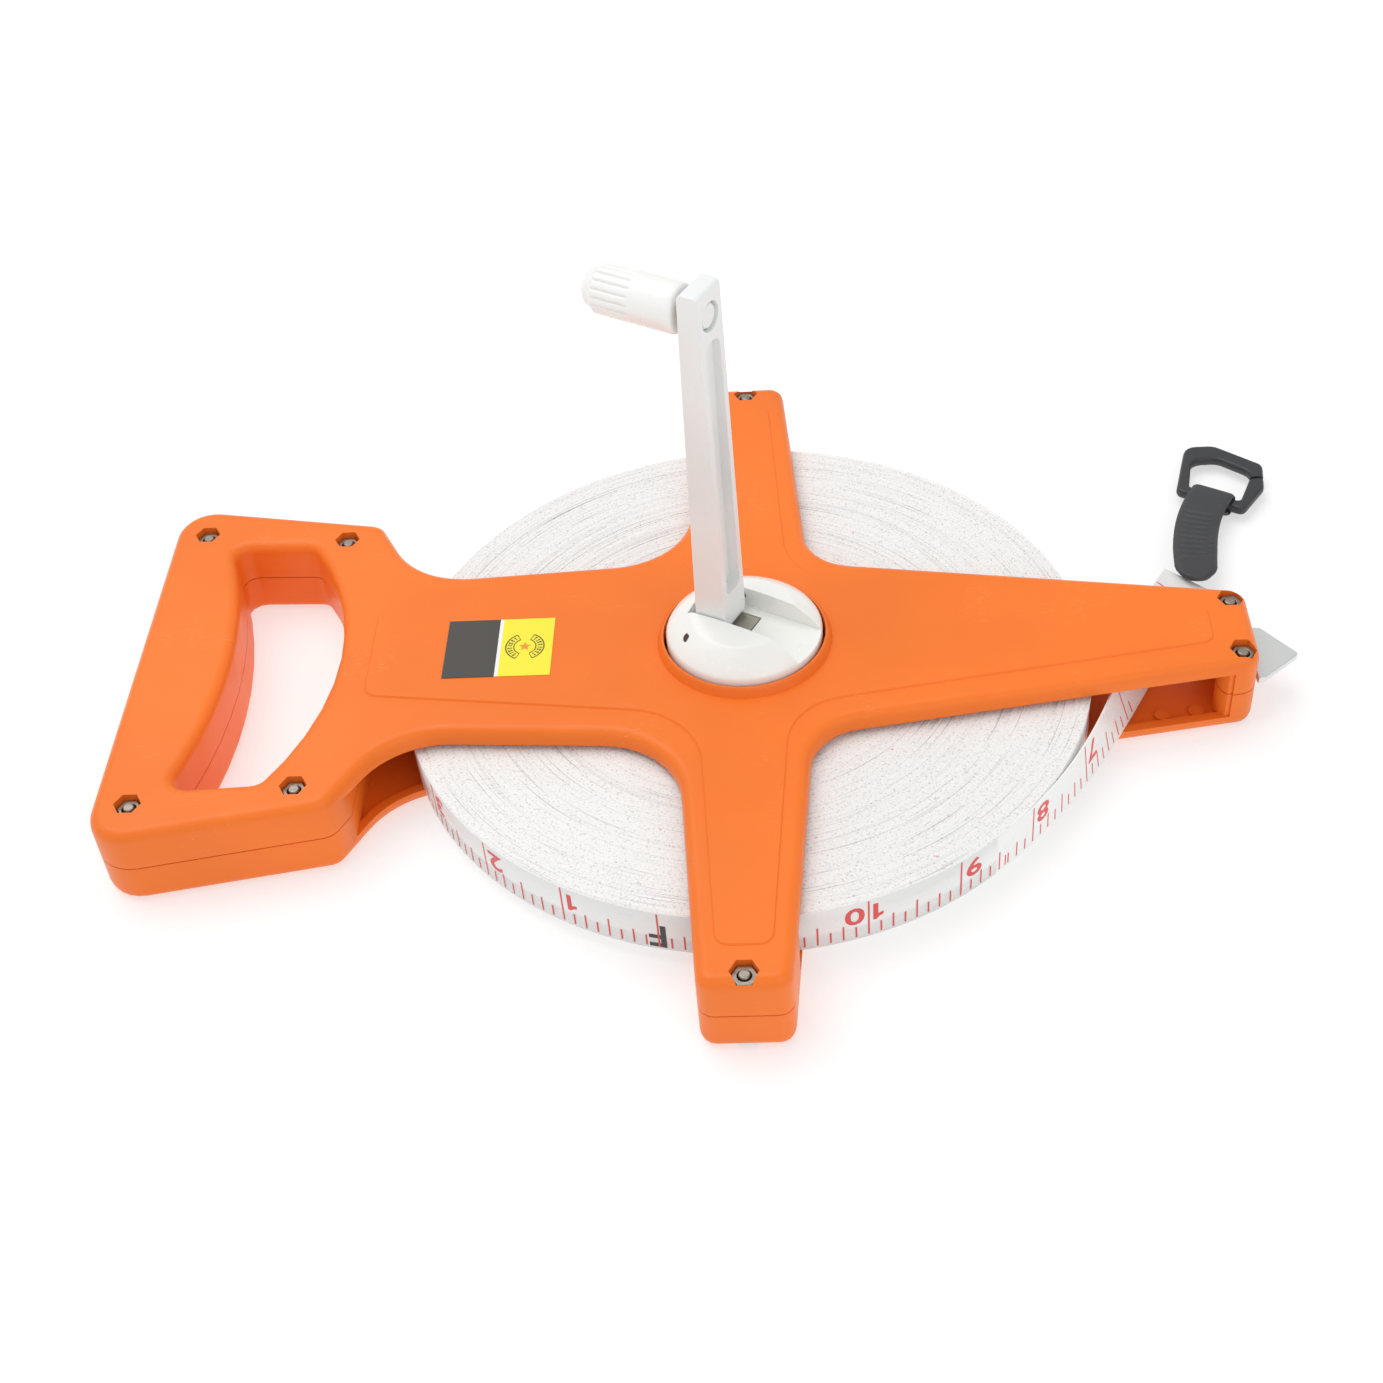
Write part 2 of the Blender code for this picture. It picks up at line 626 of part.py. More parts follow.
def blade_section(share):
    """The blade's four corners at a share of its free run."""
    leave = Vector((math.cos(LEAVE_ANGLE), math.sin(LEAVE_ANGLE), 0))
    leave_way = Vector((-leave.y, leave.x, 0))
    end = Vector((*RUN_END, 0))
    end_way = Vector((math.cos(RUN_END_HEADING), math.sin(RUN_END_HEADING), 0))
    start = leave * PACK_RADIUS
    controls = (start, start + leave_way * LEAVE_REACH, end - end_way * END_REACH, end)
    middle, ahead = on_cubic(controls, share)
    lean = RUN_END_LEAN * share**LEAN_GROWTH
    up = Vector((0, 0, 1))
    outwards = Vector((ahead.y, -ahead.x, 0))
    middle.z = BLADE_LOW + BLADE_WIDTH / 2 * math.cos(lean)
    across = (up * math.cos(lean) - outwards * math.sin(lean)) * BLADE_WIDTH / 2
    through = (outwards * math.cos(lean) + up * math.sin(lean)) * TAPE_THICKNESS / 2
    return (middle + through - across, middle + through + across, middle - through + across,
            middle - through - across)


def swept_strip(name, shares, look):
    """A stretch of the blade between two shares of its free run."""
    shape = bmesh.new()
    first, last = shares
    sections = []
    for step in range(STRIP_STEPS + 1):
        corners = blade_section(first + (last - first) * step / STRIP_STEPS)
        sections.append([shape.verts.new(corner) for corner in corners])
    loft(shape, sections)
    mesh = bpy.data.meshes.new(name)
    shape.to_mesh(mesh)
    shape.free()
    return finish(bpy.data.objects.new(name, mesh), PARTS, look)


def loft(shape, sections):
    """Joins sections of the same number of corners, and closes both ends."""
    count = len(sections[0])
    for before, after in zip(sections, sections[1:]):
        for i in range(count):
            j = (i + 1) % count
            shape.faces.new((before[i], before[j], after[j], after[i]))
    shape.faces.new(sections[0])
    shape.faces.new(sections[-1])
    bmesh.ops.recalc_face_normals(shape, faces=shape.faces)


def build_end_tab(look):
    """The soft plastic tab: a flat strap with a round end at the blade, curled round the ring's bar."""
    bar = Vector((math.cos(RING_ANGLE), math.sin(RING_ANGLE), 0))
    onwards = Vector((-bar.y, bar.x, 0))
    up = Vector((0, 0, 1))
    pivot = Vector((*RING_PIN, RING_HEIGHT))
    curl = RING_BAR_RADIUS + GAP + CURL_THICKNESS / 2
    side_reach = bar * TAB_WIDTH / 2
    flat = pivot + up * curl - onwards * 3 * MM
    start = Vector(TAB_START)
    start_way = Vector((math.cos(TAB_START_HEADING), math.sin(TAB_START_HEADING), 0))
    controls = (start, start + start_way * TAB_REACH, flat - onwards * TAB_REACH, flat)
    spans = []
    for station in TAB_STATIONS:
        share = station * MM / TAB_LENGTH
        middle, ahead = on_cubic(controls, share)
        short = max(0, 1 - station * MM / (TAB_WIDTH / 2))
        half_width = TAB_WIDTH / 2 * math.sqrt(1 - short**2)
        side = Vector((ahead.y, -ahead.x, 0)).normalized() * half_width
        thickness = TAB_THICKNESS + (CURL_THICKNESS - TAB_THICKNESS) * share**3
        spans.append(((middle - side, middle + side), up * thickness / 2))
    for angle in range(90, -171, -20):
        lean = math.cos(math.radians(angle)) * onwards + math.sin(math.radians(angle)) * up
        middle = pivot + lean * curl
        spans.append(([middle - side_reach, middle + side_reach], lean * CURL_THICKNESS / 2))
    shape = bmesh.new()
    sections = []
    for (edge_a, edge_b), side in spans:
        corners = (edge_a + side, edge_b + side, edge_b - side, edge_a - side)
        sections.append([shape.verts.new(corner) for corner in corners])
    loft(shape, sections)
    mesh = bpy.data.meshes.new("end_tab")
    shape.to_mesh(mesh)
    shape.free()
    return finish(bpy.data.objects.new("end_tab", mesh), PARTS, look, False)


def build_end_ring(look):
    """A flat D-shaped ring with a slit in its side, its straight bar the one that the tab holds."""
    low, high = RING_HEIGHT - RING_THICKNESS / 2, RING_HEIGHT + RING_THICKNESS / 2
    outer = ((126.3, 80.4, 2), (131.9, 101.3, 4), (140.5, 101.3, 5), (153.4, 91, 3), (151.9, 80.3, 3),
             (144.4, 69.9, 2))
    inner = ((130.4, 82, 1), (132.9, 94.6, 4), (140.5, 94.8, 5), (149.6, 87.3, 4), (143.9, 74.2, 1.2))
    outlines = [rounded_outline(outer), rounded_outline(inner)]
    ring = plate("end_ring", outlines, low, high, PARTS, look)

    def rim(edge):
        return at_height(low)(edge) or at_height(high)(edge)

    round_edges(ring, RING_EDGE, rim, 2)
    slit = block("ring_slit", (146 * MM, 84.2 * MM, low - MM), (156 * MM, 85.3 * MM, high + MM), CUTTERS)
    cut(ring, slit)
    return applied(ring)


def set_origin(obj, place):
    """Moves the piece's origin to a point on its joint's axis, leaving the shape where it is."""
    obj.data.transform(Matrix.Translation(-Vector(place)))
    obj.location = place


for old in list(bpy.data.objects):
    bpy.data.objects.remove(old)

PARTS = bpy.data.collections.new("tape_measure")
CUTTERS = bpy.data.collections.new("cutters")
bpy.context.scene.collection.children.link(PARTS)
bpy.context.scene.collection.children.link(CUTTERS)

# Frames of the crank: the hinge's axis along v, the knob's along u, and the arm's +u face.
HINGE_FRAME = Matrix(((1, 0, 0, HINGE_U), (0, 0, 1, 0), (0, -1, 0, HINGE_Z), (0, 0, 0, 1)))
KNOB_FRAME = Matrix(((0, 0, 1, 0), (0, 1, 0, KNOB_V), (-1, 0, 0, KNOB_Z), (0, 0, 0, 1)))
SIDE_FRAME = Matrix(((0, 0, 1, 0), (0, -1, 0, 0), (1, 0, 0, 0), (0, 0, 0, 1)))

orange = material("frame_orange", ORANGE, 0.42)
steel = material("zinc_steel", (0.70, 0.70, 0.72), 0.3, 1.0)
white = material("hub_white", (0.86, 0.86, 0.84), 0.35)

build_front_frame(orange)
build_rear_frame(orange)
build_fasteners(steel)
build_ground_spike(material("spike_steel", (0.62, 0.64, 0.63), 0.32, 1.0))
build_label(material("label_film", (0.08, 0.075, 0.07), 0.3))
tape = material("tape_white", (0.80, 0.80, 0.78), 0.45)
swept_strip("tape_lead_in", LEAD_IN_SHARES, tape)
build_reel_drum(orange)
build_tape_pack(tape)

reel_axis = bpy.data.objects.new("reel_axis", None)
PARTS.objects.link(reel_axis)
reel_axis.rotation_euler.z = FOLD_DIRECTION
hub_pieces = [
    build_crank_hub(white), build_hinge_pin(steel), build_detent_spring(steel),
    build_crank_arm(material("crank_white", (0.76, 0.755, 0.745), 0.4)),
    build_knob_axle(material("axle_brass", (0.72, 0.53, 0.25), 0.3, 1.0)),
    build_knob(material("knob_white", (0.80, 0.80, 0.78), 0.38)),
]
for piece in hub_pieces:
    piece.parent = reel_axis
for piece in hub_pieces[3:]:
    set_origin(piece, (HINGE_U, 0, HINGE_Z) if piece.name != "knob_grip" else (KNOB_START_U, KNOB_V, KNOB_Z))

swept_strip("tape_leader", LEADER_SHARES, tape)
black = material("tab_black", (0.05, 0.05, 0.055), 0.5)
build_end_tab(black)
set_origin(build_end_ring(black), (*RING_PIN, RING_HEIGHT))
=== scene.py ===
import json
import math

import bmesh
import bpy
import numpy as np
from mathutils import Matrix, Vector


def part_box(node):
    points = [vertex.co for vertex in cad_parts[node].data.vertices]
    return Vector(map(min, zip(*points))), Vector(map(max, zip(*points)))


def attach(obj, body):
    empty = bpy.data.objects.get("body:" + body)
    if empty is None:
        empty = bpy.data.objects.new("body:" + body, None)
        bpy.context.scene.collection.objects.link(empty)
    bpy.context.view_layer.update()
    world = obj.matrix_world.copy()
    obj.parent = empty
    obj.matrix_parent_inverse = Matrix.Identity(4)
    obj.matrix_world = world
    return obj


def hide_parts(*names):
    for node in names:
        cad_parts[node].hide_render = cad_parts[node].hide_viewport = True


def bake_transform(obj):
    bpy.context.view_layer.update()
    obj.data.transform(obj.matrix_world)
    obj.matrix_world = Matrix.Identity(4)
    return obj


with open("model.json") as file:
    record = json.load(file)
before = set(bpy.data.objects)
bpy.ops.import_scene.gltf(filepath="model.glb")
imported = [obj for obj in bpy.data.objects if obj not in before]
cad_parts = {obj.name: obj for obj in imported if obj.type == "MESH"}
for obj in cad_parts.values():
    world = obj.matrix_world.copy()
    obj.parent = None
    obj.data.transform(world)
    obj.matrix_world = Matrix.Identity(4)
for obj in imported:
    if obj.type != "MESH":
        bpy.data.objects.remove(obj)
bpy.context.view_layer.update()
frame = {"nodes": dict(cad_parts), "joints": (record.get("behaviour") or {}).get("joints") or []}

MM = 0.001

# The camera stands in front of the tape and above it, a little to the right of the reel,
# and leans by a few degrees, as a hand-held one does.
CAMERA_PLACE = (18.26 * MM, -404.52 * MM, 387.96 * MM)
CAMERA_YAW, CAMERA_DIP, CAMERA_LEAN = np.radians((-4.745, 43.276, -5.201))
CAMERA_LENS = 53.645
CAMERA_SENSOR = 36
CAMERA_NEAR = 0.01


def linked(name, data):
    """An object that shows this mesh, camera, light or text, placed at the origin."""
    obj = bpy.data.objects.new(name, data)
    bpy.context.scene.collection.objects.link(obj)
    return obj


ahead = Vector((
    math.sin(CAMERA_YAW) * math.cos(CAMERA_DIP),
    math.cos(CAMERA_YAW) * math.cos(CAMERA_DIP),
    -math.sin(CAMERA_DIP),
))
level = Vector((math.cos(CAMERA_YAW), -math.sin(CAMERA_YAW), 0))
upright = level.cross(ahead)
right = math.cos(CAMERA_LEAN) * level + math.sin(CAMERA_LEAN) * upright
above = -math.sin(CAMERA_LEAN) * level + math.cos(CAMERA_LEAN) * upright
facing = Matrix((right, above, -ahead)).transposed().to_4x4()
camera = linked("camera", bpy.data.cameras.new("camera"))
camera.data.lens = CAMERA_LENS
camera.data.sensor_width = CAMERA_SENSOR
camera.data.clip_start = CAMERA_NEAR
camera.matrix_world = Matrix.Translation(CAMERA_PLACE) @ facing
bpy.context.scene.camera = camera

# A pale floor that the rear face rests on, in a bright white room: one broad soft light
# over the left shoulder, a weaker one from the right, and an even sky.
FLOOR_DROP = 0.2 * MM
FLOOR_HALF = 3.0
FLOOR_GREY = (0.52, 0.52, 0.52)
FLOOR_ROUGHNESS = 0.95
FLOOR_GLOW = 0.52
WHITE = (1, 1, 1, 1)
SKY_STRENGTH = 0.66


def plain_material(name, colour, roughness, metallic=0.0):
    """One Principled shader with its own constant values, which the pieces' node setups start from."""
    made = bpy.data.materials.new(name)
    made.use_nodes = True
    shader = made.node_tree.nodes["Principled BSDF"]
    shader.inputs["Base Color"].default_value = (*colour, 1)
    shader.inputs["Roughness"].default_value = roughness
    shader.inputs["Metallic"].default_value = metallic
    return made


def mesh_object(name, points, faces):
    """A mesh object at the origin, from points in metres and a list or an array of faces."""
    mesh = bpy.data.meshes.new(name)
    rims = faces.tolist() if isinstance(faces, np.ndarray) else faces
    mesh.from_pydata(np.asarray(points).reshape(-1, 3).tolist(), [], rims)
    return linked(name, mesh)


corners = np.array([(-1, -1, 0), (1, -1, 0), (1, 1, 0), (-1, 1, 0)]) * FLOOR_HALF
floor = mesh_object("floor", corners - (0, 0, FLOOR_DROP), [(0, 1, 2, 3)])
floor_paper = plain_material("floor_paper", FLOOR_GREY, FLOOR_ROUGHNESS)
paper_shader = floor_paper.node_tree.nodes["Principled BSDF"]
paper_shader.inputs["Emission Color"].default_value = WHITE
paper_shader.inputs["Emission Strength"].default_value = FLOOR_GLOW
floor.data.materials.append(floor_paper)


def soft_light(name, place, size, power):
    """A square area light at one place, aimed at the origin."""
    light = bpy.data.lights.new(name, "AREA")
    light.size = size
    light.energy = power
    lamp = linked(name, light)
    lamp.location = place
    lamp.rotation_euler = (-Vector(place)).to_track_quat("-Z", "Y").to_euler()


soft_light("overhead", (-0.5, 0.35, 1.5), size=1.4, power=12.5)
soft_light("front_fill", (0.9, -1.3, 0.9), size=1.2, power=4)
world = bpy.data.worlds.new("room")
world.use_nodes = True
sky = world.node_tree.nodes["Background"]
sky.inputs["Color"].default_value = WHITE
sky.inputs["Strength"].default_value = SKY_STRENGTH
bpy.context.scene.world = world
bpy.context.scene.view_settings.view_transform = "Standard"

# The frame's two halves are injection mouldings in orange ABS: satin, with a faint orange-peel
# skin and pale scuffs from being laid on stone. They are bolted face to face at mid height.
ORANGE = (0.925, 0.194, 0.019)
SCUFF_ORANGE = (1.0, 0.42, 0.18)
SKIN_DEPTH = 0.2 * MM
COAT_ROUGHNESS = 0.2
FRAME_EDGE = 0.25 * MM
# Patches, scratches, clouds of tint, clouds of gloss and dimples of the skin to a metre.
PATCHES, SCRATCHES, TINT_CLOUDS, GLOSS_CLOUDS, DIMPLES = 55, 420, 18, 90, 900
SCRATCH_STRETCH, SCRATCH_TURN = (1, 7, 3), (0, 0, 0.6)
SCUFF_ROUGHENS, SCUFF_SINKS, DIMPLE_HEIGHT = 0.25, 0.6, 0.5
# Triangles within this angle of each other are one face, and points this near are one point.
FLAT_WITHIN = math.radians(0.4)
SAME_POINT = 1e-6
EDGE_SEGMENTS = 2
BEVELLED_SHARP = 60


def object_place(tree):
    """The place of a surface point in metres, as the material nodes read it."""
    return tree.nodes.new("ShaderNodeTexCoord").outputs["Object"]


def noise(tree, place, scale, detail=2):
    """Soft random patches with values from 0 to 1, this many to a metre."""
    texture = tree.nodes.new("ShaderNodeTexNoise")
    texture.inputs["Scale"].default_value = scale
    texture.inputs["Detail"].default_value = detail
    tree.links.new(place, texture.inputs["Vector"])
    return texture.outputs["Fac"]


def ranged(tree, value, low, high, to_low, to_high):
    """A value carried in a straight line from one range to another, and held at both ends."""
    node = tree.nodes.new("ShaderNodeMapRange")
    names = ("From Min", "From Max", "To Min", "To Max")
    for name, number in zip(names, (low, high, to_low, to_high)):
        node.inputs[name].default_value = number
    tree.links.new(value, node.inputs["Value"])
    return node.outputs["Result"]


def maths(tree, operation, first, second):
    """The sum, difference or product of a value and a second value or a number."""
    node = tree.nodes.new("ShaderNodeMath")
    node.operation = operation
    tree.links.new(first, node.inputs[0])
    if isinstance(second, (int, float)):
        node.inputs[1].default_value = second
    else:
        tree.links.new(second, node.inputs[1])
    return node.outputs["Value"]


def mixed(tree, share, first, second):
    """Two colours mixed by a share from 0 to 1. Each is another node's output or a constant."""
    node = tree.nodes.new("ShaderNodeMix")
    node.data_type = "RGBA"
    tree.links.new(share, node.inputs["Factor"])
    for name, colour in (("A", first), ("B", second)):
        if isinstance(colour, tuple):
            node.inputs[name].default_value = (*colour, 1)
        else:
            tree.links.new(colour, node.inputs[name])
    return node.outputs["Result"]


def dimmed(tree, colour, share):
    """A colour, another node's output or a constant, times a value."""
    node = tree.nodes.new("ShaderNodeVectorMath")
    node.operation = "SCALE"
    if isinstance(colour, tuple):
        node.inputs[0].default_value = colour
    else:
        tree.links.new(colour, node.inputs[0])
    tree.links.new(share, node.inputs["Scale"])
    return node.outputs["Vector"]


def raised(tree, height, strength, depth):
    """The material's surface tilted as if it rose and sank by this height."""
    bump = tree.nodes.new("ShaderNodeBump")
    bump.inputs["Strength"].default_value = strength
    bump.inputs["Distance"].default_value = depth
    tree.links.new(height, bump.inputs["Height"])
    tree.links.new(bump.outputs["Normal"], tree.nodes["Principled BSDF"].inputs["Normal"])


def moulded_group():
    """Colour, roughness and height of a moulded plastic skin: slow cloudiness, scuffs and orange peel.
    A scuff shows where a patch and a fine scratch coincide."""
    group = bpy.data.node_groups.new("moulded_skin", "ShaderNodeTree")
    for name, kind, value in (
        ("Colour", "NodeSocketColor", WHITE), ("Scuff Colour", "NodeSocketColor", WHITE),
        ("Roughness", "NodeSocketFloat", 0.4), ("Scuffs", "NodeSocketFloat", 0.5),
    ):
        socket = group.interface.new_socket(name, in_out="INPUT", socket_type=kind)
        socket.default_value = value
    group.interface.new_socket("Colour", in_out="OUTPUT", socket_type="NodeSocketColor")
    group.interface.new_socket("Roughness", in_out="OUTPUT", socket_type="NodeSocketFloat")
    group.interface.new_socket("Height", in_out="OUTPUT", socket_type="NodeSocketFloat")
    given = group.nodes.new("NodeGroupInput").outputs
    result = group.nodes.new("NodeGroupOutput").inputs
    place = object_place(group)
    stretched = group.nodes.new("ShaderNodeMapping")
    stretched.inputs["Scale"].default_value = SCRATCH_STRETCH
    stretched.inputs["Rotation"].default_value = SCRATCH_TURN
    group.links.new(place, stretched.inputs["Vector"])
    patches = ranged(group, noise(group, place, PATCHES, 3), 0.56, 0.72, 0, 1)
    scratches = ranged(group, noise(group, stretched.outputs["Vector"], SCRATCHES), 0.60, 0.70, 0, 1)
    scuffs = maths(group, "MULTIPLY", maths(group, "MULTIPLY", patches, scratches), given["Scuffs"])
    clouds = ranged(group, noise(group, place, TINT_CLOUDS), 0.35, 0.65, 0.94, 1.04)
    tint = mixed(group, scuffs, given["Colour"], given["Scuff Colour"])
    group.links.new(dimmed(group, tint, clouds), result["Colour"])
    gloss = ranged(group, noise(group, place, GLOSS_CLOUDS, 4), 0.3, 0.7, -0.06, 0.06)
    rough = maths(group, "ADD", given["Roughness"], gloss)
    rough = maths(group, "ADD", rough, maths(group, "MULTIPLY", scuffs, SCUFF_ROUGHENS))
    group.links.new(rough, result["Roughness"])
    peel = maths(group, "MULTIPLY", noise(group, place, DIMPLES), DIMPLE_HEIGHT)
    sunk = maths(group, "MULTIPLY", scuffs, SCUFF_SINKS)
    group.links.new(maths(group, "SUBTRACT", peel, sunk), result["Height"])
    return group


moulded_skin = moulded_group()


def moulded_plastic(name, colour, scuff_colour, roughness, scuffs=0.5, relief=0.03, coat=0.0, sheen=0.5):
    """A plastic whose colour, roughness and relief come from the moulded skin group."""
    made = plain_material(name, colour, roughness)
    tree = made.node_tree
    shader = tree.nodes["Principled BSDF"]
    shader.inputs["Coat Weight"].default_value = coat
    shader.inputs["Specular IOR Level"].default_value = sheen
    shader.inputs["Coat Roughness"].default_value = COAT_ROUGHNESS
    skin = tree.nodes.new("ShaderNodeGroup")
    skin.node_tree = moulded_skin
    skin.inputs["Colour"].default_value = (*colour, 1)
    skin.inputs["Scuff Colour"].default_value = (*scuff_colour, 1)
    skin.inputs["Roughness"].default_value = roughness
    skin.inputs["Scuffs"].default_value = scuffs
    tree.links.new(skin.outputs["Colour"], shader.inputs["Base Color"])
    tree.links.new(skin.outputs["Roughness"], shader.inputs["Roughness"])
    raised(tree, skin.outputs["Height"], relief, SKIN_DEPTH)
    return made


def finished_copy(node, name, body, look, edge, sharp=40):
    """The CAD piece with its triangles merged into whole faces, its sharp edges broken by a small radius
    and its normals weighted by area, so that rounds look round and flats look flat."""
    mesh = frame["nodes"][node].data.copy()
    mesh.materials.clear()
    shape = bmesh.new()
    shape.from_mesh(mesh)
    bmesh.ops.remove_doubles(shape, verts=shape.verts, dist=SAME_POINT)
    bmesh.ops.dissolve_limit(shape, angle_limit=FLAT_WITHIN, verts=shape.verts, edges=shape.edges)
    shape.to_mesh(mesh)
    shape.free()
    obj = linked(name, mesh)
    mesh.materials.append(look)
    if edge:
        bevel = obj.modifiers.new("edges", "BEVEL")
        bevel.width = edge
        bevel.segments = EDGE_SEGMENTS
        bevel.limit_method = "ANGLE"
        bevel.angle_limit = math.radians(sharp)
        bevel.miter_outer = "MITER_ARC"
    mesh.shade_smooth()
    mesh.set_sharp_from_angle(angle=math.radians(BEVELLED_SHARP if edge else sharp))
    weighted = obj.modifiers.new("normals", "WEIGHTED_NORMAL")
    weighted.keep_sharp = True
    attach(obj, body)
    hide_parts(node)
    return obj


orange_abs = moulded_plastic("orange_abs", ORANGE, SCUFF_ORANGE, 0.38, scuffs=0.45, relief=0.05, sheen=0.32)
finished_copy("front_frame", "front_shell", "frame", orange_abs, FRAME_EDGE)
finished_copy("rear_frame", "rear_shell", "frame", orange_abs, FRAME_EDGE)

# Eight zinc-plated M3 bolts come up from the rear into plain nuts, which sit in hexagonal pockets
# below the front face, so that nothing catches on clothes or grass.
ZINC = (0.48, 0.45, 0.40)
TARNISH = (0.20, 0.17, 0.13)
NUT_EDGE, BOLT_EDGE = 0.25 * MM, 0.12 * MM
DULL_CLOUDS, CLOUD_DETAIL = 700, 4
SMOOTHER, ROUGHER = 0.12, 0.18
METAL_DEPTH = 0.1 * MM


def worn_metal(name, colour, dull_colour, roughness, relief=0.06):
    """A metal whose colour, roughness and relief drift between bright and dull patches."""
    made = plain_material(name, colour, roughness, 1.0)
    tree = made.node_tree
    shader = tree.nodes["Principled BSDF"]
    cloud = noise(tree, object_place(tree), DULL_CLOUDS, CLOUD_DETAIL)
    tree.links.new(mixed(tree, cloud, colour, dull_colour), shader.inputs["Base Color"])
    rough = ranged(tree, cloud, 0, 1, roughness - SMOOTHER, roughness + ROUGHER)
    tree.links.new(rough, shader.inputs["Roughness"])
    raised(tree, cloud, relief, METAL_DEPTH)
    return made


zinc = worn_metal("zinc_plate", ZINC, TARNISH, 0.38)
for i in range(1, 9):
    finished_copy(f"frame_nut_{i}", f"nut_{i}", "frame", zinc, NUT_EDGE)
    finished_copy(f"frame_bolt_{i}", f"bolt_{i}", "frame", zinc, BOLT_EDGE)

# The ground spike is a flat pointed tongue of plated steel, clamped between the halves. It is
# pushed into the soil to hold the instrument still while the tape is drawn out.
SPIKE_EDGE = 0.3 * MM
spike_plate = worn_metal("spike_plate", (0.80, 0.82, 0.81), (0.70, 0.73, 0.72), 0.42, relief=0.02)
finished_copy("ground_spike", "spike", "frame", spike_plate, SPIKE_EDGE)

# The sticker is a printed film on the raised panel: a dark field, a yellow field with a plain
# round emblem, and a thin white line between them.
LABEL_LIFT = 0.05 * MM
LABEL_THICKNESS = 0.12 * MM
LABEL_OFF_PANEL = 0.3 * MM
DARK_SHARE, LINE_SHARE = 0.485, 0.517
label_low, label_high = (np.array(corner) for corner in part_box("label_plate"))
panel_top = label_low[2] - LABEL_OFF_PANEL
label_length = label_high[0] - label_low[0]
label_width = label_high[1] - label_low[1]


def film(name, colour):
    """Printed film: flat ink under a clear coat, with a little unevenness in the gloss."""
    return moulded_plastic(name, colour, colour, 0.42, scuffs=0.0, relief=0.02, coat=0.1)


def slab(name, x_range, y_range, z_range, look):
    """One field of the sticker: a thin closed tile between two corners."""
    points = [(x, y, z) for z in z_range for y in y_range for x in x_range]
    faces = [(0, 2, 3, 1), (4, 5, 7, 6), (0, 1, 5, 4), (2, 6, 7, 3), (0, 4, 6, 2), (1, 3, 7, 5)]
    obj = mesh_object(name, points, faces)
    obj.data.materials.append(look)
    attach(obj, "frame")
    return obj


dark_film = film("dark_film", (0.055, 0.048, 0.042))
yellow_film = film("yellow_film", (1.0, 0.86, 0.03))
white_film = film("white_film", (0.9, 0.9, 0.9))
label_base = panel_top + LABEL_LIFT
label_z = (label_base, label_base + LABEL_THICKNESS)
label_y = (label_low[1], label_high[1])
dark_end = label_low[0] + DARK_SHARE * label_length
line_end = label_low[0] + LINE_SHARE * label_length
label = slab("label_dark", (label_low[0], dark_end), label_y, label_z, dark_film)
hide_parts("label_plate")
slab("label_line", (dark_end, line_end), label_y, label_z, white_film)
slab("label_yellow", (line_end, label_high[0]), label_y, label_z, yellow_film)

# The emblem is printed on the yellow field: two double arcs that face each other, closed at
# their ends and filled with two rows of short strokes, round a small orange star.
EMBLEM_RADIUS = 5.1 * MM
EMBLEM_X_SHARE, EMBLEM_Y_SHARE = 0.741, 0.504
ARC_HALF_ANGLE, ARC_STEPS = math.radians(64), 32
ARC_LINES = ((1.0, 0.2 * MM), (0.58, 0.17 * MM))
END_SHARE, END_HALF_SHARE, END_HALF_ANGLE = 0.79, 0.21, 0.03
STROKES, STROKE_PITCH, STROKE_STEPS = 8, math.radians(14), 2
STROKE_ROWS = ((0.86, 0.3 * MM), (0.73, 0.25 * MM))
STROKE_BEFORE, STROKE_AFTER, STROKE_LONGER = 0.055, 0.045, 0.03
STAR_CORNERS, STAR_TIP, STAR_NOTCH = 10, 1.7 * MM, 0.75 * MM
EMBLEM_LIFT, EMBLEM_INK = 0.01 * MM, 0.03 * MM


def flat_arc(radius, half_width, start, end, steps):
    """Points along a flat circular band from one angle to another, two wide: each is the radius, less
    or more by the half width, times the cosine and sine of its angle."""
    angle = np.linspace(start, end, steps + 1)[:, None]
    reach = radius + np.array([-half_width, half_width])[None, :]
    return np.stack((reach * np.cos(angle), reach * np.sin(angle), 0 * angle * reach), axis=-1)


def ribbon_faces(steps, first=0):
    """Faces of a band of points two wide, numbered from the first."""
    i = first + 2 * np.arange(steps)
    return np.stack((i, i + 1, i + 3, i + 2), axis=1)


emblem_middle = np.array([
    label_low[0] + EMBLEM_X_SHARE * label_length, label_low[1] + EMBLEM_Y_SHARE * label_width,
    label_z[1] + EMBLEM_LIFT,
])
bands = []
for side_angle in (0, math.pi):
    arc_ends = (side_angle - ARC_HALF_ANGLE, side_angle + ARC_HALF_ANGLE)
    for share, half_line in ARC_LINES:
        bands.append(flat_arc(EMBLEM_RADIUS * share, half_line, *arc_ends, ARC_STEPS))
    for end in arc_ends:
        bands.append(flat_arc(
            EMBLEM_RADIUS * END_SHARE, EMBLEM_RADIUS * END_HALF_SHARE,
            end - END_HALF_ANGLE, end + END_HALF_ANGLE, 1,
        ))
    for stroke in range(STROKES):
        middle = side_angle + STROKE_PITCH * (stroke - (STROKES - 1) / 2)
        stroke_end = middle + STROKE_AFTER + STROKE_LONGER * (stroke % 3)
        for share, half_line in STROKE_ROWS:
            bands.append(flat_arc(
                EMBLEM_RADIUS * share, half_line, middle - STROKE_BEFORE, stroke_end, STROKE_STEPS
            ))
band_starts = np.cumsum([0] + [2 * len(band) for band in bands])
emblem = mesh_object(
    "label_emblem",
    np.concatenate([band.reshape(-1, 3) for band in bands]) + emblem_middle,
    np.concatenate([ribbon_faces(len(band) - 1, first) for band, first in zip(bands, band_starts)]),
)
emblem.data.materials.append(film("emblem_ink", (0.17, 0.14, 0.005)))
